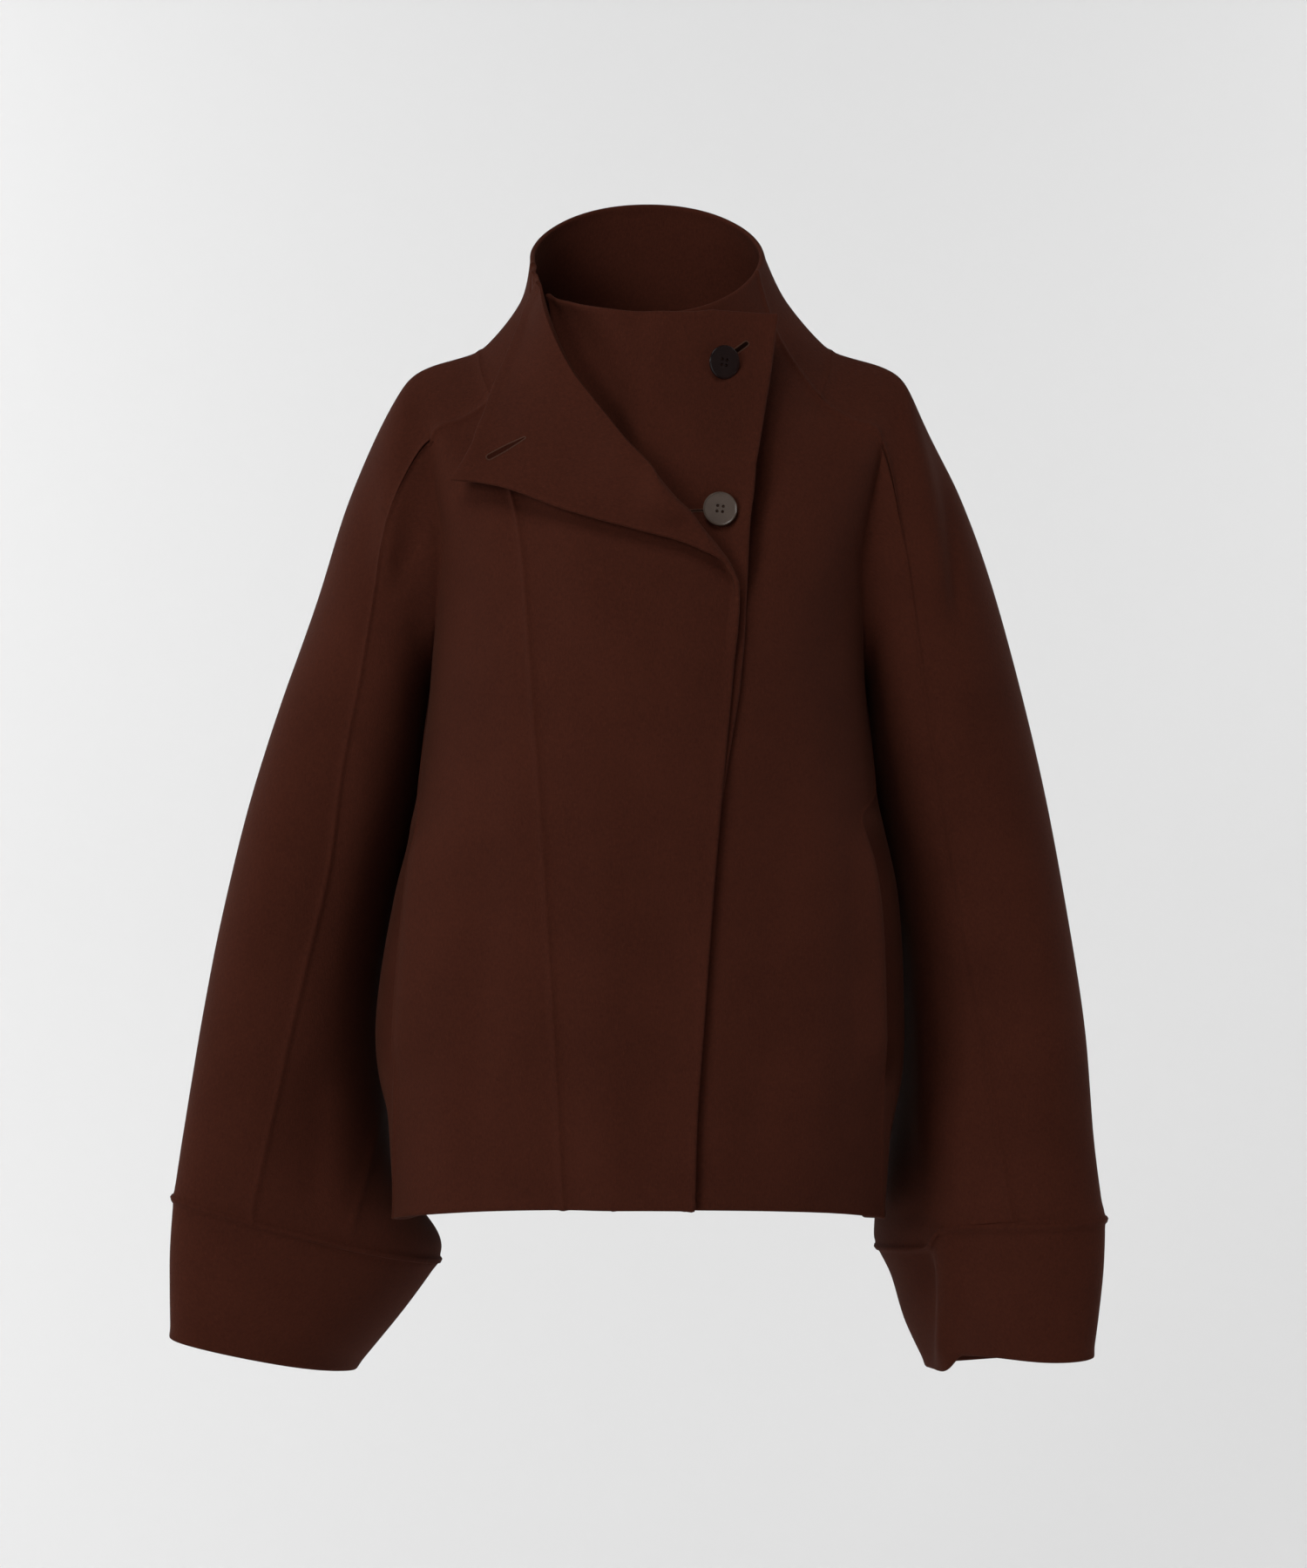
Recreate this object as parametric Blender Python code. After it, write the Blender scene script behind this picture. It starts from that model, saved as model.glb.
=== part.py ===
"""Short coat of felted wool, closed right over left, in the hollow form that it has when it is worn.

Metres. The wearer faces -Y, and +X is the wearer's left. The origin is the middle of the neck at the height
of the shoulders. All pieces are walls of cloth cut from one trunk surface and two sleeve tubes.
"""

import math
from collections import namedtuple

import bmesh
import bpy
from mathutils import Matrix, Vector

CLOTH = 0.0022
SEAM_GAP = 0.0003
LAYER = 0.0034
SHOULDER_LEAN = 1.15
BUTTON_DIAMETER = 0.026
BUTTON_THICKNESS = 0.0036
LAPEL_ROLL = 0.0055
LAPEL_REST = 0.0105
FLY_STAND_OFF = 0.007
POCKET_LIFT = 0.0024
HEM_TUCK = 0.018

# Sections of the trunk from the hem (0) through the underarm (5), the shoulder end (8) and the neck seam (10)
# to the collar rim (12). Heights are of the front, side and back of the section. The front and back columns
# are its depths, shift is the offset of its middle to the wearer's left, and square is its exponent.
Ring = namedtuple("Ring", "z_front z_side z_back half_width front back shift square")
RINGS = (
    Ring(-0.655, -0.676, -0.672, 0.1900, 0.150, 0.130, -0.0130, 2.50),
    Ring(-0.592, -0.604, -0.604, 0.2015, 0.152, 0.134, -0.0095, 2.50),
    Ring(-0.515, -0.522, -0.522, 0.2055, 0.152, 0.135, -0.0105, 2.50),
    Ring(-0.420, -0.423, -0.424, 0.1960, 0.152, 0.135, -0.0060, 2.50),
    Ring(-0.343, -0.345, -0.345, 0.1780, 0.152, 0.135, -0.0050, 2.45),
    Ring(-0.258, -0.255, -0.255, 0.1680, 0.1500, 0.134, -0.0045, 2.40),
    Ring(-0.228, -0.193, -0.190, 0.1690, 0.1455, 0.131, -0.0030, 2.30),
    Ring(-0.200, -0.106, -0.110, 0.1760, 0.1390, 0.126, -0.0005, 2.10),
    Ring(-0.172, -0.020, -0.045, 0.1920, 0.1310, 0.118, 0.0020, 1.85),
    Ring(-0.140, -0.008, -0.012, 0.1640, 0.1205, 0.108, 0.0020, 1.95),
    Ring(-0.105, 0.000, 0.018, 0.1370, 0.1110, 0.098, 0.0015, 2.08),
    Ring(-0.045, 0.038, 0.068, 0.1035, 0.0930, 0.085, 0.0000, 2.12),
    Ring(0.022, 0.076, 0.123, 0.0895, 0.0780, 0.078, -0.0050, 2.10),
)
ROWS = (0, 0.7, 1.4, 2.1, 2.8, 3.3, 3.75, 4.05, 4.5, 5, 5.6, 6.2, 6.75, 7.25, 7.6, 8, 8.6, 9.3, 10,
        10.5, 11, 11.5, 12)
UNDERARM, SHOULDER, NECK, RIM = 5, 8, 10, 12
BREAK = 7.25

# Seams on the trunk as pairs of a section and an angle in degrees from the middle of the front.
SIDE_LEFT = ((0, 63), (1, 62), (2, 61), (3, 60.5), (3.75, 60), (4.05, 79), (4.5, 87), (5, 92))
SIDE_DRIFT = ((0, 64), (3, 64), (4, 75), (5, 92))
SIDE_RIGHT = ((0, 76), (0.5, 67), (1, 62), (2, 57), (3, 63), (3.75, 72), (4.05, 80), (4.5, 87), (5, 92))
ARMHOLE_FRONT = ((5, 92), (6, 75), (7, 68), (8, 65))
ARMHOLE_BACK = ((5, 92), (6, 111), (7, 118), (8, 121))
SADDLE_FRONT = ((8, 65), (9, 65), (10, 66))
SADDLE_BACK = ((8, 121), (9, 118), (10, 114))
COLLAR_LEFT = ((10, 66), (11, 67), (12, 70))
COLLAR_RIGHT = ((10, 62), (11, 69), (12, 78))

# Edges on the fronts as pairs of a section and the distance to the wearer's left of the middle.
PANEL_SEAM = ((0, -0.068), (1, -0.0713), (2, -0.0755), (3, -0.081), (4, -0.0857), (5, -0.092), (6, -0.0945),
              (7, -0.0972), (8, -0.103), (9, -0.114))
FRONT_EDGE = ((0, 0.0287), (1, 0.0309), (2, 0.0363), (3, 0.0430), (4, 0.0492), (5, 0.0567), (6, 0.0593),
              (7.25, 0.0605))
ROLL_LINE = ((7.25, 0.0605), (7.6, 0.0563), (8, 0.0485), (8.6, 0.0345), (9.3, 0.0165), (10, -0.0040),
             (10.5, -0.0285), (11, -0.0525), (11.5, -0.0690), (12, -0.0830))
FLY_EDGE = ((0, 0.0325), (1, 0.0355), (2, 0.0405), (3, 0.0490), (4, 0.0578), (5, 0.0645), (6, 0.0665),
            (7, 0.0683), (8, 0.0709), (9, 0.0753), (10, 0.0793))
FLY_TOP_EDGE = 0.0931
FLY_RIM = ((0, 11.7), (0.15, 11.93), (0.3, 12), (0.5, 12), (0.76, 11.8), (0.9, 11.5), (1, 11.17))
UNDERLAP_EDGE = ((0, -0.008), (10, -0.004), (12, 0.012))

# The lapel's free edge from the break to its corner, as pairs of distance to the left and height, and the
# share of that edge that each section of the roll line reaches.
LAPEL_EDGE = ((0.060, -0.193), (0.043, -0.170), (0.026, -0.161), (-0.0065, -0.151), (-0.0641, -0.1339),
              (-0.107, -0.1187), (-0.1428, -0.1083))
LAPEL_SHARE = ((7.25, 0), (7.6, 0.037), (8, 0.088), (8.6, 0.17), (9.3, 0.275), (10, 0.385), (10.5, 0.525),
               (11, 0.685), (11.5, 0.82), (12, 1))
LAPEL_TURN = 0.9

# Sections of a sleeve from the armhole (0) to the cuff seam (10), then of the cuff. The outer and inner
# columns are the ends of the section, front and back its depths, and seam the share of the way from the
# outer to the inner end at which the front seam runs. Distances to the side are from the middle of the coat.
Section = namedtuple("Section", "outer_x outer_z inner_x inner_z outer_y inner_y front back seam")
SLEEVE_LEFT = (
    Section(0.1940, -0.0200, 0.1635, -0.2550, 0.000, 0.008, 0.064, 0.066, 0.242),
    Section(0.2110, -0.0580, 0.1700, -0.2620, 0.004, 0.014, 0.066, 0.068, 0.360),
    Section(0.2380, -0.1120, 0.1700, -0.2880, 0.008, 0.018, 0.068, 0.070, 0.468),
    Section(0.2620, -0.1770, 0.1735, -0.3260, 0.012, 0.022, 0.070, 0.070, 0.517),
    Section(0.2856, -0.2620, 0.1815, -0.3760, 0.012, 0.026, 0.070, 0.070, 0.590),
    Section(0.3060, -0.3500, 0.1925, -0.4360, 0.010, 0.030, 0.069, 0.069, 0.655),
    Section(0.3230, -0.4450, 0.1955, -0.5100, 0.004, 0.034, 0.067, 0.067, 0.650),
    Section(0.3350, -0.5270, 0.1945, -0.5800, -0.004, 0.038, 0.064, 0.064, 0.635),
    Section(0.3410, -0.6086, 0.1850, -0.6500, -0.012, 0.040, 0.060, 0.060, 0.558),
    Section(0.3465, -0.6560, 0.1770, -0.6900, -0.016, 0.040, 0.056, 0.056, 0.499),
    Section(0.3495, -0.6740, 0.1790, -0.7040, -0.018, 0.040, 0.054, 0.054, 0.508),
    Section(0.3525, -0.7110, 0.1900, -0.7270, -0.020, 0.040, 0.052, 0.052, 0.519),
    Section(0.3495, -0.7480, 0.2006, -0.7620, -0.022, 0.038, 0.049, 0.049, 0.531),
    Section(0.3434, -0.7820, 0.2170, -0.7970, -0.024, 0.036, 0.046, 0.046, 0.563),
)
SLEEVE_RIGHT = (
    Section(0.1900, -0.0200, 0.1680, -0.2550, 0.000, 0.008, 0.064, 0.066, 0.242),
    Section(0.2108, -0.0558, 0.1800, -0.2620, 0.004, 0.012, 0.066, 0.068, 0.302),
    Section(0.2380, -0.1190, 0.1830, -0.2880, 0.008, 0.016, 0.068, 0.070, 0.394),
    Section(0.2618, -0.1938, 0.1870, -0.3260, 0.012, 0.020, 0.070, 0.070, 0.445),
    Section(0.2890, -0.2720, 0.1950, -0.3760, 0.012, 0.024, 0.070, 0.070, 0.493),
    Section(0.3148, -0.3536, 0.2080, -0.4360, 0.010, 0.028, 0.069, 0.069, 0.574),
    Section(0.3352, -0.4386, 0.2180, -0.5100, 0.004, 0.030, 0.066, 0.067, 0.547),
    Section(0.3495, -0.5134, 0.2165, -0.5820, -0.004, 0.030, 0.062, 0.064, 0.472),
    Section(0.3638, -0.6018, 0.2060, -0.6480, -0.010, 0.030, 0.056, 0.060, 0.395),
    Section(0.3700, -0.6426, 0.1725, -0.6940, -0.012, 0.030, 0.050, 0.056, 0.315),
    Section(0.3720, -0.6576, 0.1715, -0.7140, -0.014, 0.030, 0.046, 0.050, 0.312),
    Section(0.3747, -0.6970, 0.1768, -0.7228, -0.016, 0.030, 0.045, 0.048, 0.317),
    Section(0.3747, -0.7310, 0.2006, -0.7548, -0.018, 0.028, 0.045, 0.046, 0.330),
    Section(0.3740, -0.7650, 0.2360, -0.7976, -0.020, 0.026, 0.044, 0.044, 0.358),
)
SLEEVE_ROWS = (0, 0.7, 1.4, 2.1, 3, 4, 5, 6, 7, 8, 8.7, 9.4, 10)
CUFF_ROWS = (10, 10.25, 11, 12, 13)
CUFF_RIDGE = 0.0022
SLEEVE_SQUARE = 2.3
# How far the inner end of a sleeve is set back behind the body at each section, and how far the seam of the
# left cuff rises at its fold.
BACKSET = ((0, 0), (2, 0.022), (5, 0.034), (8, 0.046), (9.3, 0.044), (10, 0.030), (13, 0.012))
CUFF_KINK = 0.013
BACK_SEAM = ((0, 0.06), (1, 0.26), (2, 0.38), (4, 0.5), (13, 0.5))

# Folds of the sleeves: the first and last section, the angle from the outer end towards the front at each,
# the height in metres and the width in degrees.
Fold = namedtuple("Fold", "start end angle_start angle_end height width")
FOLDS_LEFT = (
    Fold(0.2, 3.6, 30, 80, 0.0080, 16),
    Fold(0.6, 3.4, 14, 48, -0.0050, 14),
    Fold(8.6, 14.0, 116, 116, 0.0060, 15),
    Fold(8.6, 14.0, 150, 150, -0.0050, 18),
)
FOLDS_RIGHT = (
    Fold(0.2, 3.0, 14, 66, 0.0070, 20),
    Fold(0.6, 3.0, 14, 36, -0.0030, 16),
    Fold(7.4, 10.6, 126, 120, 0.0040, 18),
)

OUTER_COLUMNS = 12
LEFT_COLUMNS, FLY_COLUMNS, SIDE_COLUMNS, BACK_COLUMNS = 11, 9, 4, 20
BASE_COLUMNS, ROLL_COLUMNS, LAPEL_COLUMNS = 7, 4, 5
POCKET_ROWS, POCKET_COLUMNS = 8, 3
POCKET_START, POCKET_END = 1.4, 3.75
BUTTON_SIDES = 28

# Buttons: place to the left and height, the tilt about the vertical and the stand-off of the middle.
Button = namedtuple("Button", "name x z tilt rise")
BUTTONS = (
    Button("button_upper", 0.0544, -0.0129, -20.0, 0.0086),
    Button("button_lower", 0.0506, -0.1281, 0.0, 0.0058),
)


def smooth(t):
    t = min(1.0, max(0.0, t))
    return t * t * (3 - 2 * t)


def between(pairs, at):
    """Value at a place in pairs of (place, value), straight from pair to pair."""
    for (low, start), (high, end) in zip(pairs, pairs[1:]):
        if at <= high:
            return start + (end - start) * max(0.0, (at - low) / (high - low))
    return pairs[-1][1]


def curve_row(table, at):
    """Row of a table at a fractional place, on a smooth curve through its rows."""
    i = min(int(at), len(table) - 2)
    t = at - i
    rows = [table[max(0, min(len(table) - 1, i + k))] for k in (-1, 0, 1, 2)]
    return type(table[0])(*(
        b + 0.5 * t * (c - a + t * (2 * a - 5 * b + 4 * c - d + t * (3 * (b - c) + d - a)))
        for a, b, c, d in zip(*rows)
    ))


def power(value, exponent):
    return math.copysign(abs(value) ** exponent, value)


# The trunk surface

def trunk(section, degrees, lift=0.0):
    """Point on the trunk at a section and an angle, moved out by the lift."""
    ring = curve_row(RINGS, section)
    sine, cosine = math.sin(math.radians(degrees)), math.cos(math.radians(degrees))
    across = power(sine, 2 / ring.square)
    along = power(cosine, 2 / ring.square)
    depth, z_end = (ring.front, ring.z_front) if cosine > 0 else (ring.back, ring.z_back)
    point = Vector((
        ring.shift + ring.half_width * across,
        -depth * along,
        ring.z_side + (z_end - ring.z_side) * abs(along) ** SHOULDER_LEAN,
    ))
    return point + lift * trunk_normal(section, degrees) if lift else point


def trunk_normal(section, degrees):
    low, high = max(0.0, section - 0.05), min(float(RIM), section + 0.05)
    around = trunk(section, degrees + 1) - trunk(section, degrees - 1)
    up = trunk(high, degrees) - trunk(low, degrees)
    return around.cross(up).normalized()


def angle_at(section, x):
    """Angle on the front of the trunk at a distance to the left of the middle."""
    ring = curve_row(RINGS, section)
    share = max(-0.998, min(0.998, (x - ring.shift) / ring.half_width))
    return math.degrees(math.asin(power(share, ring.square / 2)))


def section_at(x, z):
    """Section of the front of the trunk at a distance to the left and a height."""
    low, high = 4.0, float(RIM)
    for _ in range(30):
        middle = (low + high) / 2
        if trunk(middle, angle_at(middle, x)).z < z:
            low = middle
        else:
            high = middle
    return low


def outline(section, side):
    """Angle of the outer boundary of the front on one side, from the hem to the rim."""
    if section <= UNDERARM:
        return between(SIDE_LEFT if side > 0 else SIDE_RIGHT, section)
    if section <= SHOULDER:
        return between(ARMHOLE_FRONT, section)
    if section <= NECK:
        return between(SADDLE_FRONT, section)
    return between(COLLAR_LEFT if side > 0 else COLLAR_RIGHT, section)


def back_outline(section, side):
    if section <= UNDERARM:
        return between(SIDE_LEFT if side > 0 else SIDE_RIGHT, section)
    return between(ARMHOLE_BACK if section <= SHOULDER else SADDLE_BACK, section)


def pocket_lift(section, share):
    """Height of the front's outer edge over the pocket mouth, nothing away from it."""
    middle = (POCKET_START + POCKET_END) / 2
    along = 1 - abs(section - middle) / (POCKET_END - middle)
    return POCKET_LIFT * smooth(2.5 * along) * smooth(3 * share - 2)


# Panels as grids of points, with rows upwards and columns from the wearer's right to left

def drift(section, side):
    """Turn of the side seam away from an even line, taken up by the columns next to it."""
    return back_outline(section, side) - between(SIDE_DRIFT, section) if section < UNDERARM else 0.0


def left_front():
    grid = []
    for section in ROWS:
        start, end = angle_at(section, between(UNDERLAP_EDGE, section)), outline(section, 1)
        turn = drift(section, 1)
        row = []
        for k in range(LEFT_COLUMNS + 1):
            share = k / LEFT_COLUMNS
            degrees = start + (end - turn - start) * share + turn * share ** 6
            row.append(trunk(section, degrees, pocket_lift(section, share)))
        grid.append(row)
    return grid


def panel_seam(section):
    """Angle of the long seam of the right front, and above the neck of its collar seam."""
    if section >= NECK:
        return -between(COLLAR_RIGHT, section)
    if section > 9:
        low = angle_at(9, PANEL_SEAM[-1][1])
        return low + (-COLLAR_RIGHT[0][1] - low) * (section - 9)
    return angle_at(section, between(PANEL_SEAM, section))


def right_side():
    grid = []
    for section in (row for row in ROWS if row <= NECK):
        start, end = -outline(section, -1), panel_seam(section)
        shares = [k / SIDE_COLUMNS for k in range(SIDE_COLUMNS + 1)]
        grid.append([trunk(section, start + (end - start) * k, pocket_lift(section, 1 - k)) for k in shares])
    return grid


def right_lift(section, degrees):
    """Height of the right front over the trunk: nothing at its seam, two layers over the closure."""
    start = panel_seam(section)
    edge = between(FRONT_EDGE, section) if section <= BREAK else between(ROLL_LINE, section)
    span = max(4.0, angle_at(section, edge) - start)
    full = 2 * LAYER * (1 - 0.35 * smooth((section - NECK) / 2))
    return full * smooth((degrees - start) / min(22.0, 0.5 * span))


def lapel_point(place, lift):
    """Point over the trunk at a distance to the left and a height, moved out by the lift."""
    section = section_at(place[0], place[1])
    return trunk(section, angle_at(section, place[0]), lift)


def lapel_edge(share):
    """Place on the lapel's free edge at a share of its length from the break."""
    edge = [Vector(place) for place in LAPEL_EDGE]
    left = share * sum((b - a).length for a, b in zip(edge, edge[1:]))
    for a, b in zip(edge, edge[1:]):
        if left <= (b - a).length:
            break
        left -= (b - a).length
    return a.lerp(b, min(1.0, left / (b - a).length))


def right_centre():
    grid = []
    for section in ROWS:
        start = panel_seam(section)
        turned = section > BREAK
        edge = between(ROLL_LINE, section) if turned else between(FRONT_EDGE, section)
        strip = 0.012 + 0.003 * max(0.0, BREAK - section)
        roll = LAPEL_ROLL * (0.32 + 0.68 * smooth((section - BREAK) / 2.5)) if turned else 0.0
        hinge = angle_at(section, edge - (0.7 * roll if turned else strip))
        row = []
        for k in range(BASE_COLUMNS + 1):
            degrees = start + (hinge - start) * k / BASE_COLUMNS
            row.append(trunk(section, degrees, right_lift(section, degrees)))
        if turned:
            row += turned_back(section, hinge, roll, row)
        else:
            steps = ROLL_COLUMNS + LAPEL_COLUMNS
            for k in range(1, steps + 1):
                degrees = angle_at(section, edge - strip * (1 - k / steps))
                row.append(trunk(section, degrees, right_lift(section, degrees)))
        grid.append(row)
    return grid


def turned_back(section, hinge, roll, row):
    """The roll and the lapel of one row: round a part circle, then back over the front to its edge."""
    foot, normal = row[-1], trunk_normal(section, hinge)
    across = foot - row[-2]
    across = (across - normal * across.dot(normal)).normalized()
    turned = math.pi * smooth((section - BREAK) / LAPEL_TURN)
    points = []
    for k in range(1, ROLL_COLUMNS + 1):
        turn = turned * k / ROLL_COLUMNS
        points.append(foot + across * roll * math.sin(turn) + normal * roll * (1 - math.cos(turn)))
    low = right_lift(section, hinge) + 2 * roll
    begin = Vector((foot.x, foot.z))
    end = lapel_edge(between(LAPEL_SHARE, section))
    ahead = across * math.cos(turned) + normal * math.sin(turned)
    laid = smooth((turned / math.pi - 0.55) / 0.45)
    first = points[-1] - lapel_point(begin, low)
    last = points[-1]
    for k in range(1, LAPEL_COLUMNS + 1):
        share = k / LAPEL_COLUMNS
        lift = low + (LAPEL_REST - low) * smooth(share)
        flat = lapel_point(begin.lerp(end, share), lift) + first * (1 - share)
        free = last + ahead * max(0.008, (end - begin).length) * share
        points.append(free.lerp(flat, laid))
    return points


def fly():
    grid = []
    low_rows = [row for row in ROWS if row <= NECK]
    high_rows = [(row - NECK) / (RIM - NECK) for row in ROWS if row > NECK]
    for section in low_rows:
        grid.append(fly_row([section] * (FLY_COLUMNS + 1), between(FLY_EDGE, section)))
    for rise in high_rows:
        sections = [NECK + (between(FLY_RIM, k / FLY_COLUMNS) - NECK) * rise for k in range(FLY_COLUMNS + 1)]
        grid.append(fly_row(sections, FLY_EDGE[-1][1] + (FLY_TOP_EDGE - FLY_EDGE[-1][1]) * rise))
    return grid


def fly_row(sections, edge):
    row = []
    for k, section in enumerate(sections):
        share = k / FLY_COLUMNS
        seam = panel_seam(section)
        roll_x = between(FRONT_EDGE, section) if section <= BREAK else between(ROLL_LINE, section)
        start = seam + min(14.0, 0.45 * (angle_at(section, roll_x) - seam))
        degrees = start + (angle_at(section, edge) - start) * share
        place = trunk(section, degrees)
        covered = LAYER * smooth((place.x - between(UNDERLAP_EDGE, section) + 0.03) / 0.025)
        open_edge = smooth((place.x - roll_x - 0.018) / 0.04) * smooth((section - 7.4) / 2)
        open_edge *= 1 - 0.35 * smooth(section - 11)
        lift = max(right_lift(section, degrees) - LAYER, covered) + FLY_STAND_OFF * open_edge
        row.append(trunk(section, degrees, lift))
    return row


def back_panel():
    grid = []
    for section in (row for row in ROWS if row <= NECK):
        start, end = back_outline(section, 1), 360 - back_outline(section, -1)
        first, last = drift(section, 1), drift(section, -1)
        row = []
        for share in back_shares():
            degrees = start - first + (end + last - start + first) * share
            degrees += first * (1 - share) ** 8 - last * share ** 8
            beside = min(degrees - start, end - degrees)
            row.append(trunk(section, degrees, -hem_tuck(section, beside)))
        grid.append(row)
    return grid


def hem_tuck(section, beside):
    """How far the back is drawn in beside the side seam, most at the hem."""
    low = smooth((1.9 - section) / 1.9)
    return HEM_TUCK * low * smooth(beside / 12) * math.exp(-((beside - 22) / 14) ** 2)


def back_shares():
    """Shares of the way across the back, closer together towards its sides."""
    shares = [k / BACK_COLUMNS for k in range(BACK_COLUMNS + 1)]
    return [share - 0.09 * math.sin(2 * math.pi * share) for share in shares]


def saddle_angles(section):
    start, end = between(SADDLE_FRONT, section), between(SADDLE_BACK, section)
    return [start + (end - start) * k / OUTER_COLUMNS for k in range(OUTER_COLUMNS + 1)]


def collar_panel():
    """Collar round the back, its columns set by the saddles and the back that it is sewn to."""
    left = saddle_angles(NECK)
    right = [360 - degrees for degrees in reversed(left)]
    back = [left[-1] + (right[0] - left[-1]) * share for share in back_shares()[1:-1]]
    foot = left + back + right + [360 - COLLAR_RIGHT[0][1]]
    grid = []
    for section in (row for row in ROWS if row >= NECK):
        start, end = between(COLLAR_LEFT, section), 360 - between(COLLAR_RIGHT, section)
        scale = (end - start) / (foot[-1] - foot[0])
        grid.append([trunk(section, start + (degrees - foot[0]) * scale) for degrees in foot])
    return grid


# The sleeve tubes

def tube(table, folds, place, turn, side, lift=0.0):
    """Point of a sleeve at a section and an angle from its outer end towards the front."""
    at = curve_row(table, place)
    outer = Vector((side * at.outer_x, at.outer_y, at.outer_z))
    inner = Vector((side * at.inner_x, at.inner_y, at.inner_z))
    ahead = power(math.sin(math.radians(turn)), 2 / SLEEVE_SQUARE)
    outward = power(math.cos(math.radians(turn)), 2 / SLEEVE_SQUARE)
    inward = (1 - outward) / 2
    arm = (outer - inner) / 2 * outward
    arm.y += between(BACKSET, place) * inward ** 2 - (at.front if ahead > 0 else at.back) * ahead
    if side > 0:
        kink = CUFF_KINK * smooth((place - 8.8) / 1.2) * smooth(3 * ahead)
        arm.z += kink * math.exp(-((inward - 0.75) / 0.2) ** 2)
    swell = lift
    for fold in folds:
        if fold.start < place < fold.end:
            part = (place - fold.start) / (fold.end - fold.start)
            angle = fold.angle_start + (fold.angle_end - fold.angle_start) * part
            away = (turn - angle + 180) % 360 - 180
            fade = smooth(4 * part) * smooth(2.2 * (1 - part)) if fold.end < 13.5 else smooth(4 * part)
            swell += fold.height * fade * math.exp(-(away / fold.width) ** 2)
    return (outer + inner) / 2 + arm + arm.normalized() * swell


def seam_turn(share):
    """Angle of a point that lies a share of the way from the outer to the inner end."""
    return math.degrees(math.acos(power(1 - 2 * share, SLEEVE_SQUARE / 2)))


def spaced(table, place, start, end, shares):
    """Angles between two of a section at shares of the way along the cloth."""
    steps = 40
    turns = [start + (end - start) * k / steps for k in range(steps + 1)]
    points = [tube(table, (), place, turn, 1) for turn in turns]
    lengths = [0.0]
    for a, b in zip(points, points[1:]):
        lengths.append(lengths[-1] + (b - a).length)
    pairs = [(length / lengths[-1], turn) for length, turn in zip(lengths, turns)]
    return [between(pairs, share) for share in shares]


def sleeve_turns(table, place, under_shares):
    """Angles of the columns of the outer and of the under sleeve at a section."""
    front = seam_turn(curve_row(table, place).seam)
    back = -seam_turn(between(BACK_SEAM, place))
    outer = spaced(table, place, front, back, [k / OUTER_COLUMNS for k in range(OUTER_COLUMNS + 1)])
    return outer, spaced(table, place, back, front - 360, under_shares)


def under_shares(side):
    """Shares of the way along the lower armhole at which the columns of the under sleeve start."""
    points = armhole(side)[1]
    lengths = [0.0]
    for a, b in zip(points, points[1:]):
        lengths.append(lengths[-1] + (b - a).length)
    return [length / lengths[-1] for length in lengths]


def armhole(side):
    """Armhole points of the outer and of the under sleeve, from the front over the shoulder and under."""
    over = [trunk(SHOULDER, side * degrees) for degrees in saddle_angles(SHOULDER)]
    rows = [row for row in ROWS if UNDERARM <= row <= SHOULDER]
    down = [trunk(row, side * between(ARMHOLE_BACK, row)) for row in reversed(rows)]
    up = [trunk(row, side * between(ARMHOLE_FRONT, row)) for row in rows[1:]]
    return over, down + up


def sleeve(side):
    """Grids of the outer sleeve with its saddle and of the under sleeve."""
    table, folds = (SLEEVE_LEFT, FOLDS_LEFT) if side > 0 else (SLEEVE_RIGHT, FOLDS_RIGHT)
    over, under_arm = armhole(side)
    shares = under_shares(side)
    outer_rows, under_rows = [], []
    for row in ROWS[::-1]:
        if SHOULDER < row <= NECK:
            outer_rows.append([trunk(row, side * degrees) for degrees in saddle_angles(row)])
    for place in SLEEVE_ROWS:
        free = min(1.0, place / 1.3)
        outer, under = sleeve_turns(table, place, shares)
        for rows, start, turns in ((outer_rows, over, outer), (under_rows, under_arm, under)):
            ends = [tube(table, folds, place, turn, side) for turn in turns]
            rows.append([a.lerp(b, free) for a, b in zip(start, ends)])
    return turned(outer_rows, side), turned(under_rows, side)


def turned(rows, side):
    """Rows from the cuff upwards, with columns so that the faces look outwards on either side."""
    return [row if side > 0 else row[::-1] for row in reversed(rows)]


def cuff(side):
    table, folds = (SLEEVE_LEFT, FOLDS_LEFT) if side > 0 else (SLEEVE_RIGHT, FOLDS_RIGHT)
    rows, shares = [], under_shares(side)
    for place in CUFF_ROWS:
        outer, under = sleeve_turns(table, place, shares)
        ridge = CUFF_RIDGE * smooth(1 - abs(place - 10.25) / 0.6) if place > 10 else 0.0
        rows.append([tube(table, folds, place, turn, side, ridge) for turn in outer + under[1:-1]])
    return turned(rows, side)


# Walls of cloth

def point_key(point):
    return tuple(round(value, 6) for value in point)


def grid_faces(grid, ring):
    """Corners of every face of a grid, as pairs of row and column."""
    columns = len(grid[0])
    for i in range(len(grid) - 1):
        for j in range(columns if ring else columns - 1):
            yield (i, j), (i, (j + 1) % columns), (i + 1, (j + 1) % columns), (i + 1, j)


def own_normals(grid, ring=False):
    """Direction of a grid at each of its points, from the faces round it by their area."""
    normals = {}
    for corners in grid_faces(grid, ring):
        a, b, c, d = (grid[i][j] for i, j in corners)
        facing = (c - a).cross(d - b)
        for point in (a, b, c, d):
            key = point_key(point)
            normals[key] = normals.get(key, Vector()) + facing
    return {key: normal.normalized() for key, normal in normals.items()}


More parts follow.
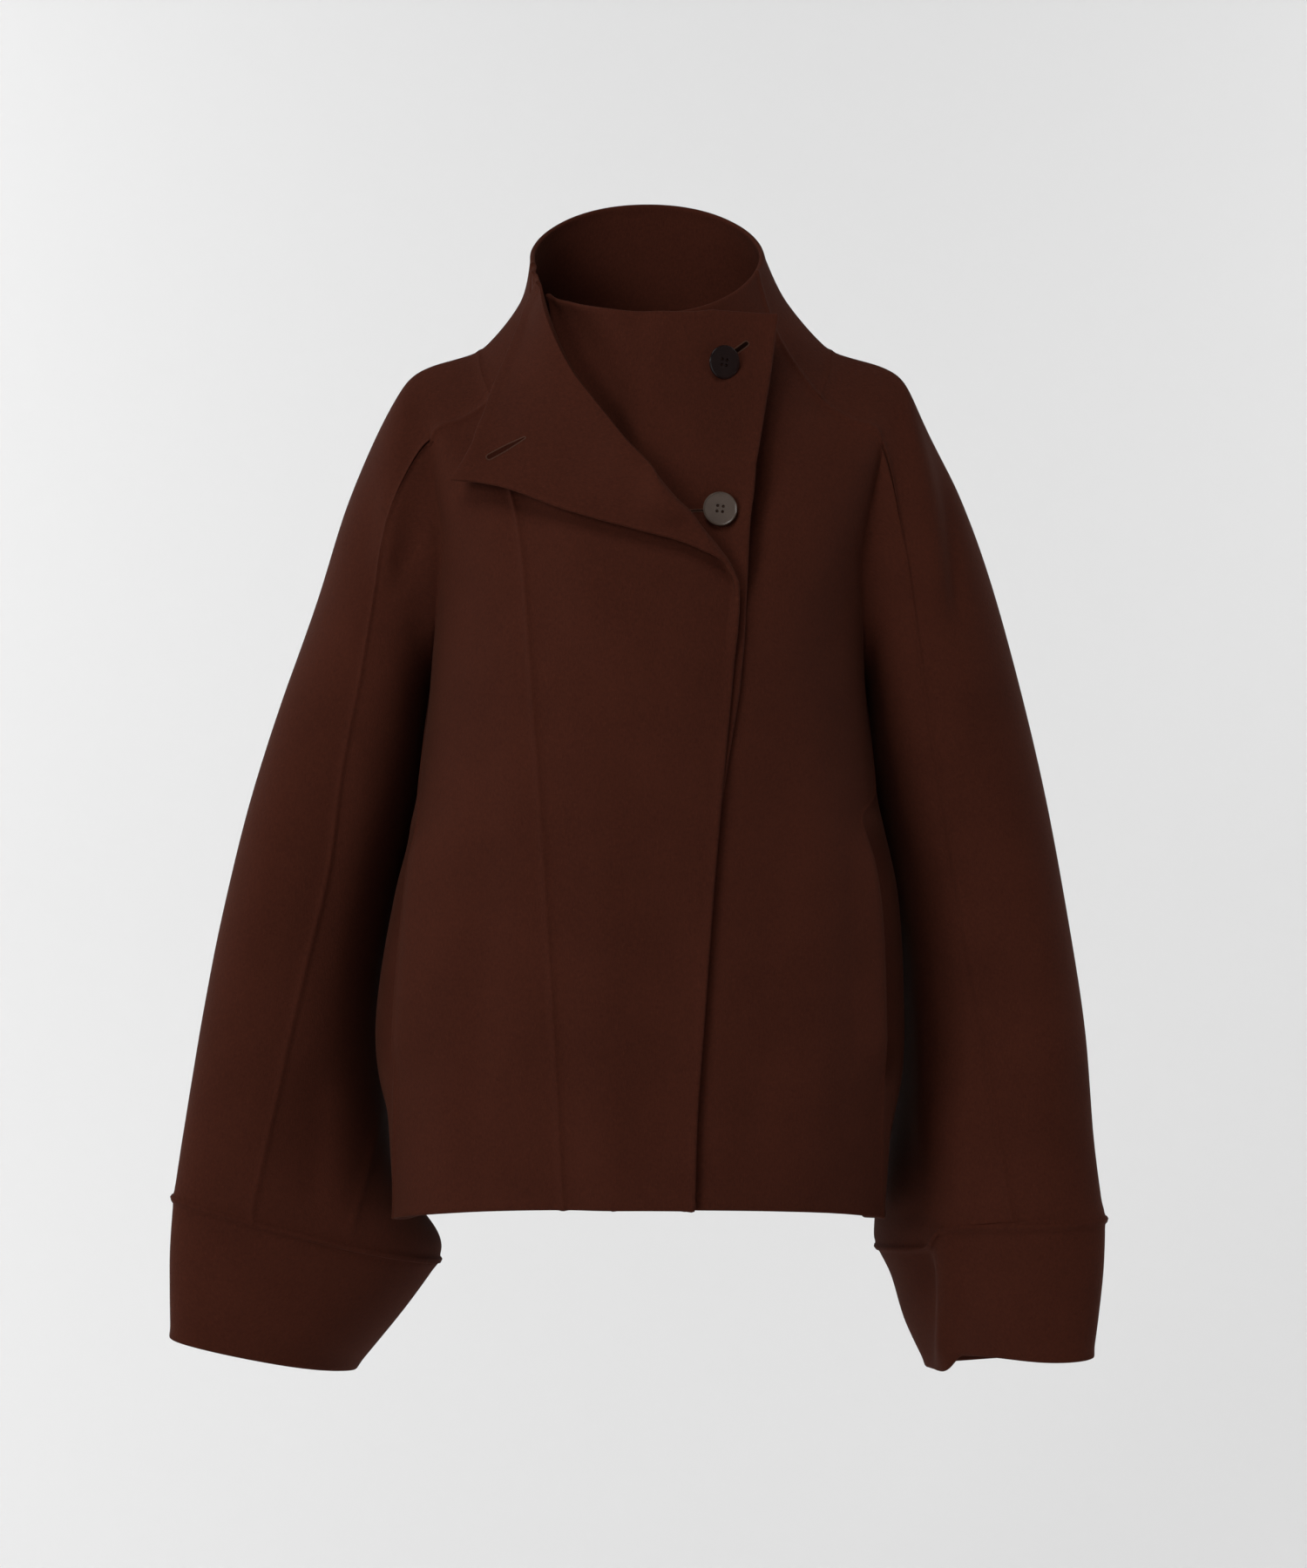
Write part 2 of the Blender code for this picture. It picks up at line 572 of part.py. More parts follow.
def shared_normals(grids):
    """Direction midway between the panels that meet at a point, so that their walls are mitred there."""
    meeting = {}
    for normals in grids:
        for key, normal in normals.items():
            others = meeting.setdefault(key, [])
            like = [k for k, other in enumerate(others) if other.normalized().dot(normal) > 0.75]
            if like:
                others[like[0]] = others[like[0]] + normal
            else:
                others.append(normal)
    return {
        key: sum((normal.normalized() for normal in others), Vector()).normalized()
        for key, others in meeting.items()
    }


def inset(grid, i, j, step_i, step_j):
    """Half a seam's space from an edge of a grid towards its middle."""
    def at(a, b):
        return grid[max(0, min(len(grid) - 1, a))][max(0, min(len(grid[0]) - 1, b))]
    inward = at(i + step_i, j + step_j) - grid[i][j]
    edge = at(i + abs(step_j), j + abs(step_i)) - at(i - abs(step_j), j - abs(step_i))
    inward -= edge * inward.dot(edge) / max(edge.length_squared, 1e-12)
    return inward.normalized() * SEAM_GAP / 2


def wall(name, grid, normals, seams, material, ring=False):
    """Closed wall of cloth on a grid. Seams names its sewn edges, of low, high, start and end."""
    own = own_normals(grid, ring)
    normals = normals or own
    skins = ([], [])
    mesh = bmesh.new()
    for i, row in enumerate(grid):
        for skin in skins:
            skin.append([])
        for j, point in enumerate(row):
            move = Vector()
            if "low" in seams and i == 0:
                move += inset(grid, i, j, 1, 0)
            if "high" in seams and i == len(grid) - 1:
                move += inset(grid, i, j, -1, 0)
            if "start" in seams and j == 0:
                move += inset(grid, i, j, 0, 1)
            if "end" in seams and j == len(row) - 1:
                move += inset(grid, i, j, 0, -1)
            shared = normals[point_key(point)]
            mitre = max(0.5, shared.dot(own[point_key(point)]))
            half = shared * CLOTH / 2 / mitre
            skins[0][-1].append(mesh.verts.new(point + move + half))
            skins[1][-1].append(mesh.verts.new(point + move - half))
    out, back = skins
    for corners in grid_faces(grid, ring):
        mesh.faces.new([out[i][j] for i, j in corners])
        mesh.faces.new([back[i][j] for i, j in corners[:1] + corners[:0:-1]])
    for a, b in grid_border(grid, ring):
        close_edge(mesh, grid, out, back, a, b)
    finish(name, mesh, material)


def grid_border(grid, ring):
    """Pairs of neighbouring places along the edges of a grid."""
    high, wide = len(grid) - 1, len(grid[0])
    for i in (0, high):
        for j in range(wide if ring else wide - 1):
            yield (i, j), (i, (j + 1) % wide)
    for i in range(0 if ring else high):
        for j in (0, wide - 1):
            yield (i, j), (i + 1, j)


def close_edge(mesh, grid, out, back, a, b):
    """Two faces that join the skins along an edge, parted the same way on both sides of a seam."""
    if point_key(grid[a[0]][a[1]]) > point_key(grid[b[0]][b[1]]):
        a, b = b, a
    (i, j), (k, n) = a, b
    mesh.faces.new((out[i][j], out[k][n], back[k][n]))
    mesh.faces.new((out[i][j], back[k][n], back[i][j]))


def finish(name, mesh, material):
    bmesh.ops.recalc_face_normals(mesh, faces=mesh.faces)
    bmesh.ops.triangulate(mesh, faces=mesh.faces, quad_method="FIXED")
    data = bpy.data.meshes.new(name)
    mesh.to_mesh(data)
    mesh.free()
    data.materials.append(material)
    coat.objects.link(bpy.data.objects.new(name, data))


def pocket_facing(name, side, material):
    """Strip of cloth behind the pocket mouth, on the inside of the seam."""
    grid = []
    for k in range(POCKET_ROWS + 1):
        section = POCKET_START + 0.05 + (POCKET_END - POCKET_START - 0.1) * k / POCKET_ROWS
        seam = outline(section, side)
        angles = [seam - 5 + 11 * j / POCKET_COLUMNS for j in range(POCKET_COLUMNS + 1)]
        row = [trunk(section, side * degrees, -1.3 * LAYER) for degrees in angles]
        grid.append(row if side > 0 else row[::-1])
    wall(name, grid, None, (), material)


def button(spec, material):
    """Round button with a raised rim, turned on a lathe, on a short stem that stands over the fly."""
    radius = BUTTON_DIAMETER / 2
    rim, dish = 0.17 * radius, 0.0011
    profile = (
        (0.0, -BUTTON_THICKNESS), (0.0024, -BUTTON_THICKNESS), (0.0024, -0.6 * BUTTON_THICKNESS),
        (0.86 * radius, -0.6 * BUTTON_THICKNESS), (radius, -0.28 * BUTTON_THICKNESS),
        (radius, -0.10 * BUTTON_THICKNESS), (radius - 0.35 * rim, 0.0), (radius - 0.75 * rim, 0.0),
        (radius - 1.3 * rim, -dish), (0.0, -dish),
    )
    section = section_at(spec.x, spec.z)
    degrees = angle_at(section, spec.x)
    facing = trunk_normal(section, degrees)
    place = fly_surface(spec.x, spec.z) + facing * spec.rise
    turn = facing.to_track_quat("Z", "Y").to_matrix().to_4x4()
    tilt = Matrix.Rotation(math.radians(spec.tilt), 4, Vector((0, 0, 1)))
    mesh = bmesh.new()
    rings = []
    for reach, height in profile:
        count = 1 if reach == 0 else BUTTON_SIDES
        ring = [2 * math.pi * k / count for k in range(count)]
        rings.append([mesh.verts.new((reach * math.cos(a), reach * math.sin(a), height)) for a in ring])
    for low, high in zip(rings, rings[1:]):
        for k in range(BUTTON_SIDES):
            n = (k + 1) % BUTTON_SIDES
            corners = [low[k % len(low)], low[n % len(low)], high[n % len(high)], high[k % len(high)]]
            mesh.faces.new(list(dict.fromkeys(corners)))
    mesh.transform(Matrix.Translation(place) @ tilt @ turn)
    finish(spec.name, mesh, material)


def fly_surface(x, z):
    """Point of the fly's middle layer at a distance to the left and a height."""
    line = []
    for row in fly_grid:
        for a, b in zip(row, row[1:]):
            if a.x <= x <= b.x:
                line.append(a.lerp(b, (x - a.x) / (b.x - a.x)))
                break
    for low, high in zip(line, line[1:]):
        if low.z <= z <= high.z:
            return low.lerp(high, (z - low.z) / (high.z - low.z))
    return line[-1]


def dyed(name, colour, roughness):
    material = bpy.data.materials.new(name)
    material.use_nodes = True
    shader = material.node_tree.nodes["Principled BSDF"]
    shader.inputs["Base Color"].default_value = (*colour, 1)
    shader.inputs["Roughness"].default_value = roughness
    return material


for old in list(bpy.data.objects):
    bpy.data.objects.remove(old)
coat = bpy.data.collections.new("short_coat")
bpy.context.scene.collection.children.link(coat)

WOOL = (0.042, 0.012, 0.007)
HORN = (0.020, 0.011, 0.008)

panels = {
    "front_left": (left_front(), ("end",)),
    "front_right_side": (right_side(), ("start", "end", "high")),
    "front_right_centre": (right_centre(), ("start",)),
    "back": (back_panel(), ("start", "end", "high")),
    "collar": (collar_panel(), ("low", "start", "end")),
}
for side, word in ((1, "left"), (-1, "right")):
    outer_grid, under_grid = sleeve(side)
    panels[f"sleeve_{word}_outer"] = (outer_grid, ("low", "high", "start", "end"))
    panels[f"sleeve_{word}_under"] = (under_grid, ("low", "high", "start", "end"))
cuffs = {"cuff_left": cuff(1), "cuff_right": cuff(-1)}
skin = shared_normals(
    [own_normals(panel) for panel, _ in panels.values()]
    + [own_normals(band, True) for band in cuffs.values()]
)
for panel_name, (panel, sewn) in panels.items():
    wall(panel_name, panel, skin, sewn, dyed(panel_name, WOOL, 0.9))
for cuff_name, band in cuffs.items():
    wall(cuff_name, band, skin, ("high",), dyed(cuff_name, WOOL, 0.9), True)
fly_grid = fly()
wall("fly_right", fly_grid, None, (), dyed("fly_right", WOOL, 0.9))
pocket_facing("pocket_left", 1, dyed("pocket_left", WOOL, 0.9))
pocket_facing("pocket_right", -1, dyed("pocket_right", WOOL, 0.9))
for spec in BUTTONS:
    button(spec, dyed(spec.name, HORN, 0.25))
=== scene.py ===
import math

import bmesh
import bpy
import numpy as np
from mathutils import Matrix, Vector
from mathutils.bvhtree import BVHTree


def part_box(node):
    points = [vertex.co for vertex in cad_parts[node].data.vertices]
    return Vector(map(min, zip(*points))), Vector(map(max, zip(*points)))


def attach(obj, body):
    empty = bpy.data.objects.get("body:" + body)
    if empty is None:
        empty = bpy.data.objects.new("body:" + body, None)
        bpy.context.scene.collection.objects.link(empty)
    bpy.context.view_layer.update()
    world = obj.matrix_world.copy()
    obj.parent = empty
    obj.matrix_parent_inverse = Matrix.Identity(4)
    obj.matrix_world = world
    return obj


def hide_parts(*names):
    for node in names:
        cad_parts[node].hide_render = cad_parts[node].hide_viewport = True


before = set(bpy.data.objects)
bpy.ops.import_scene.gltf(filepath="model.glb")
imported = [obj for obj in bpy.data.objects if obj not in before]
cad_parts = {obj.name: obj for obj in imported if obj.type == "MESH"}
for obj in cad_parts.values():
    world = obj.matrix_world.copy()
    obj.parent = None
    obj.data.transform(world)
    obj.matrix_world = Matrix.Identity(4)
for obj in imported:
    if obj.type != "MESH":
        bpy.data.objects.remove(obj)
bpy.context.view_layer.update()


# The back, one piece of heavy double-faced wool, felted until no weave shows. It has no middle seam and wraps
# round to side seams that lie towards the front, where it is sewn edge to edge. Every body panel lies on one
# trunk surface, which is worked out here from its sections.
CLOTH = 0.0022
STEP = 0.0045
SEAM_DEPTH, SEAM_REACH, SEAM_PILE, SEAM_SPREAD = 0.0001, 0.0009, 0.0014, 0.0027
EDGE_PILE, EDGE_SPREAD = 0.0008, 0.0045
EDGE_TURNS, SHARP_BEND = np.radians((36, 72, 108, 144)), math.radians(50)
EDGE_COLUMNS = np.array((0, 0.15, 0.4, 0.7))
SHOULDER_LEAN = 1.15
UNDERARM, SHOULDER, NECK, RIM = 5, 8, 10, 12
NEARBY = 0.05

# Trunk sections from the hem to the collar rim: heights of front, side and back, half width, depths of the
# front and the back, shift to the wearer's left, and squareness.
RINGS = np.array((
    (-0.655, -0.676, -0.672, 0.1925, 0.1500, 0.130, -0.0105, 2.50),
    (-0.592, -0.604, -0.604, 0.2015, 0.1520, 0.134, -0.0095, 2.50),
    (-0.515, -0.522, -0.522, 0.2055, 0.1520, 0.135, -0.0105, 2.50),
    (-0.420, -0.423, -0.424, 0.1960, 0.1520, 0.135, -0.0060, 2.50),
    (-0.343, -0.345, -0.345, 0.1780, 0.1520, 0.135, -0.0050, 2.45),
    (-0.258, -0.255, -0.255, 0.1680, 0.1500, 0.134, -0.0045, 2.40),
    (-0.228, -0.193, -0.190, 0.1690, 0.1455, 0.131, -0.0030, 2.30),
    (-0.200, -0.106, -0.110, 0.1760, 0.1390, 0.126, -0.0005, 2.10),
    (-0.172, -0.020, -0.045, 0.1920, 0.1310, 0.118, 0.0020, 1.85),
    (-0.140, -0.008, -0.012, 0.1640, 0.1205, 0.108, 0.0020, 1.95),
    (-0.105, 0.000, 0.018, 0.1370, 0.1110, 0.098, 0.0015, 2.08),
    (-0.045, 0.038, 0.068, 0.1035, 0.0930, 0.085, 0.0000, 2.12),
    (0.022, 0.076, 0.123, 0.0895, 0.0780, 0.078, -0.0050, 2.10),
))

# Seams as pairs of a section and an angle in degrees from the middle of the front.
SIDE_LEFT = ((0, 71), (0.6, 66), (1, 63), (2, 61), (3, 60.5), (3.75, 60), (4.05, 79), (4.5, 87), (5, 92))
SIDE_RIGHT = ((0, 77), (0.5, 70), (1, 66), (2, 61), (3, 65), (3.75, 72), (4.05, 80), (4.5, 87), (5, 92))
SIDE_EVEN = ((0, 64), (3, 64), (4, 75), (5, 92))
ARMHOLE_BACK = ((5, 92), (6, 111), (7, 118), (8, 121))
SADDLE_BACK = ((8, 121), (9, 118), (10, 114))

# Soft folds of the fronts and of the back: the ends as distance to the left and height, the height of the
# fold, which is a trough where it is negative, and its width.
FRONT_FOLDS = (
    (-0.088, -0.165, 0.022, -0.268, 0.0016, 0.013),
    (-0.100, -0.200, 0.000, -0.320, -0.0014, 0.016),
    (-0.136, -0.230, -0.126, -0.660, -0.0024, 0.020),
    (-0.158, -0.300, -0.152, -0.700, 0.0016, 0.016),
    (-0.030, -0.330, -0.034, -0.690, 0.0016, 0.026),
    (0.012, -0.400, 0.004, -0.690, -0.0014, 0.020),
    (0.102, -0.240, 0.080, -0.680, -0.0022, 0.018),
    (0.134, -0.250, 0.122, -0.690, 0.0022, 0.022),
    (0.168, -0.130, 0.120, -0.270, -0.0022, 0.014),
    (0.150, -0.110, 0.096, -0.230, 0.0014, 0.014),
    (-0.165, -0.125, -0.132, -0.250, -0.0016, 0.014),
)
BACK_FOLDS = (
    (-0.150, -0.140, -0.050, -0.330, -0.0040, 0.022),
    (0.150, -0.150, 0.060, -0.350, -0.0036, 0.020),
    (-0.110, -0.270, -0.120, -0.700, 0.0050, 0.030),
    (-0.050, -0.300, -0.062, -0.700, -0.0046, 0.026),
    (0.028, -0.280, 0.036, -0.700, 0.0040, 0.030),
    (0.098, -0.310, 0.112, -0.700, -0.0044, 0.024),
    (0.150, -0.330, 0.158, -0.690, 0.0036, 0.022),
    (-0.075, 0.000, 0.070, -0.012, -0.0026, 0.010),
    (-0.090, -0.028, 0.060, -0.045, 0.0018, 0.014),
)
FOLD_WANDER, FOLD_WAVES, FOLD_GENTLE, FOLD_STEEP, FOLD_FADE, FOLD_END = 0.25, 5, 1.25, 0.8, 0.3, 1.02
FLUTTER, FLUTTER_TOP, FLUTTER_WAVES, FLUTTER_START = 0.0022, 1.8, 5, 0.6


def eased(t):
    t = np.clip(t, 0.0, 1.0)
    return t * t * (3 - 2 * t)


def on_curve(pairs, at):
    """Values at places in a table of (place, value) pairs, on a smooth curve that doesn't overshoot."""
    x, y = np.array(pairs, float).T
    gap, rise = np.diff(x), np.diff(y) / np.diff(x)
    slope = np.concatenate((rise[:1], np.zeros(len(x) - 2), rise[-1:]))
    for k in range(1, len(x) - 1):
        if rise[k - 1] * rise[k] > 0:
            slope[k] = 2 * rise[k - 1] * rise[k] / (rise[k - 1] + rise[k])
    at = np.clip(at, x[0], x[-1])
    i = np.clip(np.searchsorted(x, at, side="right") - 1, 0, len(gap) - 1)
    t = (at - x[i]) / gap[i]
    bend = gap[i] * t * (1 - t) * (slope[i] * (1 - t) - slope[i + 1] * t)
    return y[i] + (y[i + 1] - y[i]) * eased(t) + bend


def table_row(table, at):
    """Rows of a table at fractional places, on a smooth curve through its rows."""
    i = np.clip(np.floor(at).astype(int), 0, len(table) - 2)
    t = (at - i)[..., None]
    a, b, c, d = (table[np.clip(i + k, 0, len(table) - 1)] for k in (-1, 0, 1, 2))
    return b + 0.5 * t * (c - a + t * (2 * a - 5 * b + 4 * c - d + t * (3 * (b - c) + d - a)))


def power(value, exponent):
    return np.sign(value) * np.abs(value) ** exponent


def folds_at(folds, x, z):
    """Height that soft folds give to places seen from the front, steeper on one flank than on the other."""
    height = np.zeros_like(x)
    for x0, z0, x1, z1, rise, width in folds:
        length = math.hypot(x1 - x0, z1 - z0)
        along = ((x - x0) * (x1 - x0) + (z - z0) * (z1 - z0)) / length ** 2
        off = ((x - x0) * (z1 - z0) - (z - z0) * (x1 - x0)) / length
        off = off + FOLD_WANDER * width * np.sin(FOLD_WAVES * along)
        spread = width * np.where(off > 0, FOLD_GENTLE, FOLD_STEEP)
        crest = rise * eased(along / FOLD_FADE) * eased((FOLD_END - along) / FOLD_FADE)
        height += crest * np.exp(-(off / spread) ** 2)
    return height


def trunk(section, degrees, lift=0.0):
    """Points on the trunk at sections and angles, moved out by the lift and by the folds of the cloth."""
    section, degrees = np.broadcast_arrays(np.asarray(section, float), np.asarray(degrees, float))
    bare = bare_trunk(section, degrees)
    ahead = np.cos(np.radians(degrees))
    folds = np.where(ahead > 0, folds_at(FRONT_FOLDS, bare[..., 0], bare[..., 2]),
                     folds_at(BACK_FOLDS, bare[..., 0], bare[..., 2]))
    wave = np.sin(np.radians(FLUTTER_WAVES * degrees) + FLUTTER_START)
    flutter = FLUTTER * eased((FLUTTER_TOP - section) / FLUTTER_TOP) * wave
    rise = lift + (folds + flutter) * eased(3 * np.abs(ahead))
    return bare + rise[..., None] * trunk_normal(section, degrees)


def bare_trunk(section, degrees):
    z_front, z_side, z_back, wide, front, back, shift, square = np.moveaxis(table_row(RINGS, section), -1, 0)
    across = power(np.sin(np.radians(degrees)), 2 / square)
    along = power(np.cos(np.radians(degrees)), 2 / square)
    depth = np.where(along > 0, front, back)
    z_end = np.where(along > 0, z_front, z_back)
    height = z_side + (z_end - z_side) * np.abs(along) ** SHOULDER_LEAN
    return np.stack((shift + wide * across, -depth * along, height), -1)


def trunk_normal(section, degrees):
    around = bare_trunk(section, degrees + 1) - bare_trunk(section, degrees - 1)
    above, below = np.minimum(section + NEARBY, RIM), np.maximum(section - NEARBY, 0)
    up = bare_trunk(above, degrees) - bare_trunk(below, degrees)
    return unit(np.cross(around, up))


def unit(vectors):
    return vectors / np.maximum(np.linalg.norm(vectors, axis=-1, keepdims=True), 1e-12)


def trunk_rows():
    """Sections about a step apart on the side of the trunk, with every quarter section among them."""
    rows = []
    for low in range(RIM):
        ends = np.abs(RINGS[low + 1, :3] - RINGS[low, :3]).max()
        count = 4 * max(1, round(ends / STEP / 4))
        rows += [low + k / count for k in range(count)]
    return np.array(rows + [float(RIM)])


def shares(count):
    """Even shares of the way across a panel, closer together at both of its edges."""
    return np.concatenate((EDGE_COLUMNS, np.arange(1, count), count - EDGE_COLUMNS[::-1])) / count


class Weave:
    """A socket of a material's nodes. Operators on it add Math nodes, and add makes any other node."""

    def __init__(self, tree, socket=None):
        self.tree, self.socket = tree, socket

    def add(self, kind, settings=None, sockets=None, out=0):
        node = self.tree.nodes.new(kind)
        for name, value in (settings or {}).items():
            setattr(node, name, value)
        self.feed(node, sockets or {})
        named = (s for k, s in enumerate(node.outputs) if out in (k, s.identifier, s.name))
        return Weave(self.tree, next(named))

    def feed(self, node, sockets):
        for name, value in sockets.items():
            socket = next(s for s in node.inputs if name in (s.identifier, s.name))
            if isinstance(value, Weave):
                self.tree.links.new(value.socket, socket)
            else:
                socket.default_value = value

    def noise(self, place, scale, **more):
        return self.add("ShaderNodeTexNoise", {}, {"Vector": place, "Scale": scale, **more})

    def mix(self, share, first, second):
        return self.add("ShaderNodeMix", {"data_type": "RGBA"}, {
            "Factor_Float": share, "A_Color": first, "B_Color": second}, "Result_Color")

    def between(self, low, high):
        """Share of the way from one value of the socket to another, from 0 to 1."""
        ramp = self.add("ShaderNodeValToRGB", {}, {"Fac": self})
        stops = ramp.socket.node.color_ramp.elements
        stops[0].position, stops[1].position = low, high
        return ramp

    def maths(self, operation, first, second):
        return self.add("ShaderNodeMath", {"operation": operation}, {"Value": first, "Value_001": second})

    def __add__(self, other):
        return self.maths("ADD", self, other)

    def __mul__(self, other):
        return self.maths("MULTIPLY", self, other)

    def __sub__(self, other):
        return self.maths("SUBTRACT", self, other)

    def __rsub__(self, other):
        return self.maths("SUBTRACT", other, self)

    __radd__, __rmul__ = __add__, __mul__


WOOL_DARK, WOOL_BRIGHT = (0.030, 0.0075, 0.0040, 1), (0.064, 0.0165, 0.0090, 1)
WOOL_HAIR, WOOL_SHEEN = (0.110, 0.036, 0.021, 1), (0.50, 0.24, 0.15, 1)


def new_material(name):
    """A plain material, with its shader, its nodes and the place of each point on the piece."""
    material = bpy.data.materials.new(name)
    material.use_nodes = True
    weave = Weave(material.node_tree)
    place = weave.add("ShaderNodeTexCoord", out="Object")
    return material, material.node_tree.nodes["Principled BSDF"], weave, place


def felted_wool(name):
    """Dense brown felt: mottled fibres, a nap that is brushed down the piece, and a few paler hairs."""
    material, shader, weave, place = new_material(name)
    cut = weave.add("ShaderNodeUVMap", {"uv_map": "cut"})
    brushed = weave.add("ShaderNodeMapping", {}, {"Vector": cut, "Scale": (1100, 260, 1)})
    cloud = weave.noise(place, 14, Detail=3, Roughness=0.55)
    felt = weave.noise(place, 420, Detail=4, Roughness=0.62)
    nap = weave.noise(brushed, 1, Detail=3, Roughness=0.6)
    hairs = nap.between(0.66, 0.78)
    tone = 0.5 + (cloud - 0.5) * 0.55 + (felt - 0.5) * 0.9 + (nap - 0.5) * 0.7
    bump = weave.add("ShaderNodeBump", {}, {
        "Height": felt * 0.6 + nap * 0.5, "Strength": 0.5, "Distance": 0.0012})
    weave.feed(shader, {
        "Base Color": weave.mix(hairs * 0.35, weave.mix(tone, WOOL_DARK, WOOL_BRIGHT), WOOL_HAIR),
        "Roughness": 0.84 + felt * 0.16, "Normal": bump, "Specular IOR Level": 0.06,
        "Sheen Weight": 0.05, "Sheen Roughness": 0.45, "Sheen Tint": WOOL_SHEEN})
    return material


def placed(name, data):
    """A new object in the scene."""
    made = bpy.data.objects.new(name, data)
    bpy.context.scene.collection.objects.link(made)
    return made


def lengths(grid, axis):
    """Distance along the cloth from the first row or column of a grid."""
    steps = np.linalg.norm(np.diff(grid, axis=axis), axis=-1)
    return np.insert(np.cumsum(steps, axis=axis), 0, 0.0, axis=axis)


def slopes(grid, ring):
    """Directions across and up a grid at each of its points."""
    closed = np.concatenate((grid[:, -1:], grid, grid[:, :1]), 1) if ring else grid
    across = np.gradient(closed, axis=1)
    return unit(across[:, 1:-1] if ring else across), unit(np.gradient(grid, axis=0))


def cloth(name, grid, sewn, ring=False):
    """Piece of cloth on a grid with rows upwards, rounded at its free edges and drawn in at its sewn ones.

    Sewn gives how far each edge is sewn, from 0 to 1: start and end are the first and last columns, low and
    high the first and last rows."""
    across, up = slopes(grid, ring)
    out = unit(np.cross(across, up))
    right, rise = lengths(grid, 1), lengths(grid, 0)
    sunk, plump = np.zeros(grid.shape[:2]), np.zeros(grid.shape[:2])
    reaches = {"low": rise, "high": rise[-1] - rise}
    if not ring:
        reaches |= {"start": right, "end": right[:, -1:] - right}
    for edge, distance in reaches.items():
        share = np.asarray(sewn.get(edge, 0.0), float)
        share = share[:, None] if share.ndim and edge in ("start", "end") else share
        sunk += share * (SEAM_DEPTH * (1 - eased(distance / SEAM_REACH)) ** 2
                         - SEAM_PILE * np.exp(-(distance / SEAM_SPREAD) ** 2))
        plump += (1 - share) * EDGE_PILE * np.exp(-(distance / EDGE_SPREAD) ** 2)
    top, under = CLOTH / 2 - sunk + plump, CLOTH / 2 + plump
    high, wide = grid.shape[:2]
    points = [grid + out * top[..., None], grid - out * under[..., None]]
    index = np.arange(high * wide).reshape(high, wide)
    columns = np.arange(wide if ring else wide - 1)
    following = (columns + 1) % wide
    lower, upper = index[:-1], index[1:]
    skin = np.stack((lower[:, columns], lower[:, following], upper[:, following], upper[:, columns]), -1)
    skin = skin.reshape(-1, 4)
    faces = [skin, skin[:, ::-1] + high * wide]
    chart = [np.stack((right - right[:, -1:] / 2, rise), -1)] * 2
    count = 2 * high * wide
    for loop, outward, free in rims(index, across, up, sewn, ring):
        at = np.unravel_index(loop, (high, wide))
        middle, radius = (top[at] - under[at]) / 2, (top[at] + under[at]) / 2
        rings = [loop]
        for turn in EDGE_TURNS:
            offset = out[at] * (middle + radius * np.cos(turn))[:, None]
            points.append(grid[at] + offset + outward * (radius * np.sin(turn) * free)[:, None])
            chart.append(chart[0][at])
            rings.append(count + np.arange(len(loop)))
            count += len(loop)
        rings.append(loop + high * wide)
        for a, b in zip(rings, rings[1:]):
            faces.append(np.stack((a, b, np.roll(b, -1), np.roll(a, -1)), -1))
    mesh = bpy.data.meshes.new(name)
    places = np.concatenate([p.reshape(-1, 3) for p in points])
    mesh.from_pydata(places.tolist(), [], np.concatenate(faces).tolist())
    mesh.shade_smooth()
    mesh.set_sharp_from_angle(angle=SHARP_BEND)
    corners = np.zeros(len(mesh.loops), int)
    mesh.loops.foreach_get("vertex_index", corners)
    layer = mesh.uv_layers.new(name="cut")
    layer.uv.foreach_set("vector", np.concatenate([c.reshape(-1, 2) for c in chart])[corners].ravel())
    mesh.materials.append(felted_wool(name))
    return placed(name + "_cloth", mesh)


def rims(index, across, up, sewn, ring):
    """Edge loops of a grid: the points in order, the direction away from the cloth, and how free each is."""
    high, wide = index.shape
    side = {}
    for edge, count in (("low", wide), ("high", wide), ("start", high), ("end", high)):
        side[edge] = 1 - np.broadcast_to(np.asarray(sewn.get(edge, 0.0), float), count)
    if ring:
        yield index[0], -up[0], side["low"]
        yield index[-1][::-1], up[-1][::-1], side["high"][::-1]
        return
    loop = np.concatenate((index[0], index[1:, -1], index[-1, -2::-1], index[-2:0:-1, 0]))
    i, j = np.unravel_index(loop, index.shape)
    parts = (
        (i == 0, -up, side["low"][j]), (i == high - 1, up, side["high"][j]),
        (j == 0, -across, side["start"][i]), (j == wide - 1, across, side["end"][i]),
    )
    outward, free = np.zeros((len(loop), 3)), np.zeros(len(loop))
    for on, direction, share in parts:
        outward += (on * share)[:, None] * direction[i, j]
        free = np.where(on, np.maximum(free, share), free)
    yield loop, unit(outward), free


def sew_in(piece, grid, node, ring=False):
    """The piece takes the place of its solid, which is hidden; its width and length are measured but not
    used.
    """
    closed = np.concatenate((grid, grid[:, :1]), 1) if ring else grid
    diagonals = np.cross(closed[1:, 1:] - closed[:-1, :-1], closed[1:, :-1] - closed[:-1, 1:])
    width, length = float(lengths(closed, 1).max()), float(lengths(closed, 0).max())
    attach(piece, "root")
    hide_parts(node)


ROWS = trunk_rows()
BACK_COLUMNS, BACK_DRIFT = 116, 8
HEM_TUCK, TUCK_TOP, TUCK_EASE, TUCK_PLACE, TUCK_SPREAD = 0.018, 1.9, 12, 22, 14
POCKET_START, POCKET_END, POCKET_EASE = 1.4, 3.75, 2.5
POCKET_DEPTH, POCKET_SPREAD = 0.017, 15

low_rows = ROWS[ROWS <= NECK]


def back_seam(section, side):
    side_seam = on_curve(SIDE_LEFT if side > 0 else SIDE_RIGHT, section)
    upper = np.where(section <= SHOULDER, on_curve(ARMHOLE_BACK, section), on_curve(SADDLE_BACK, section))
    return np.where(section <= UNDERARM, side_seam, upper)


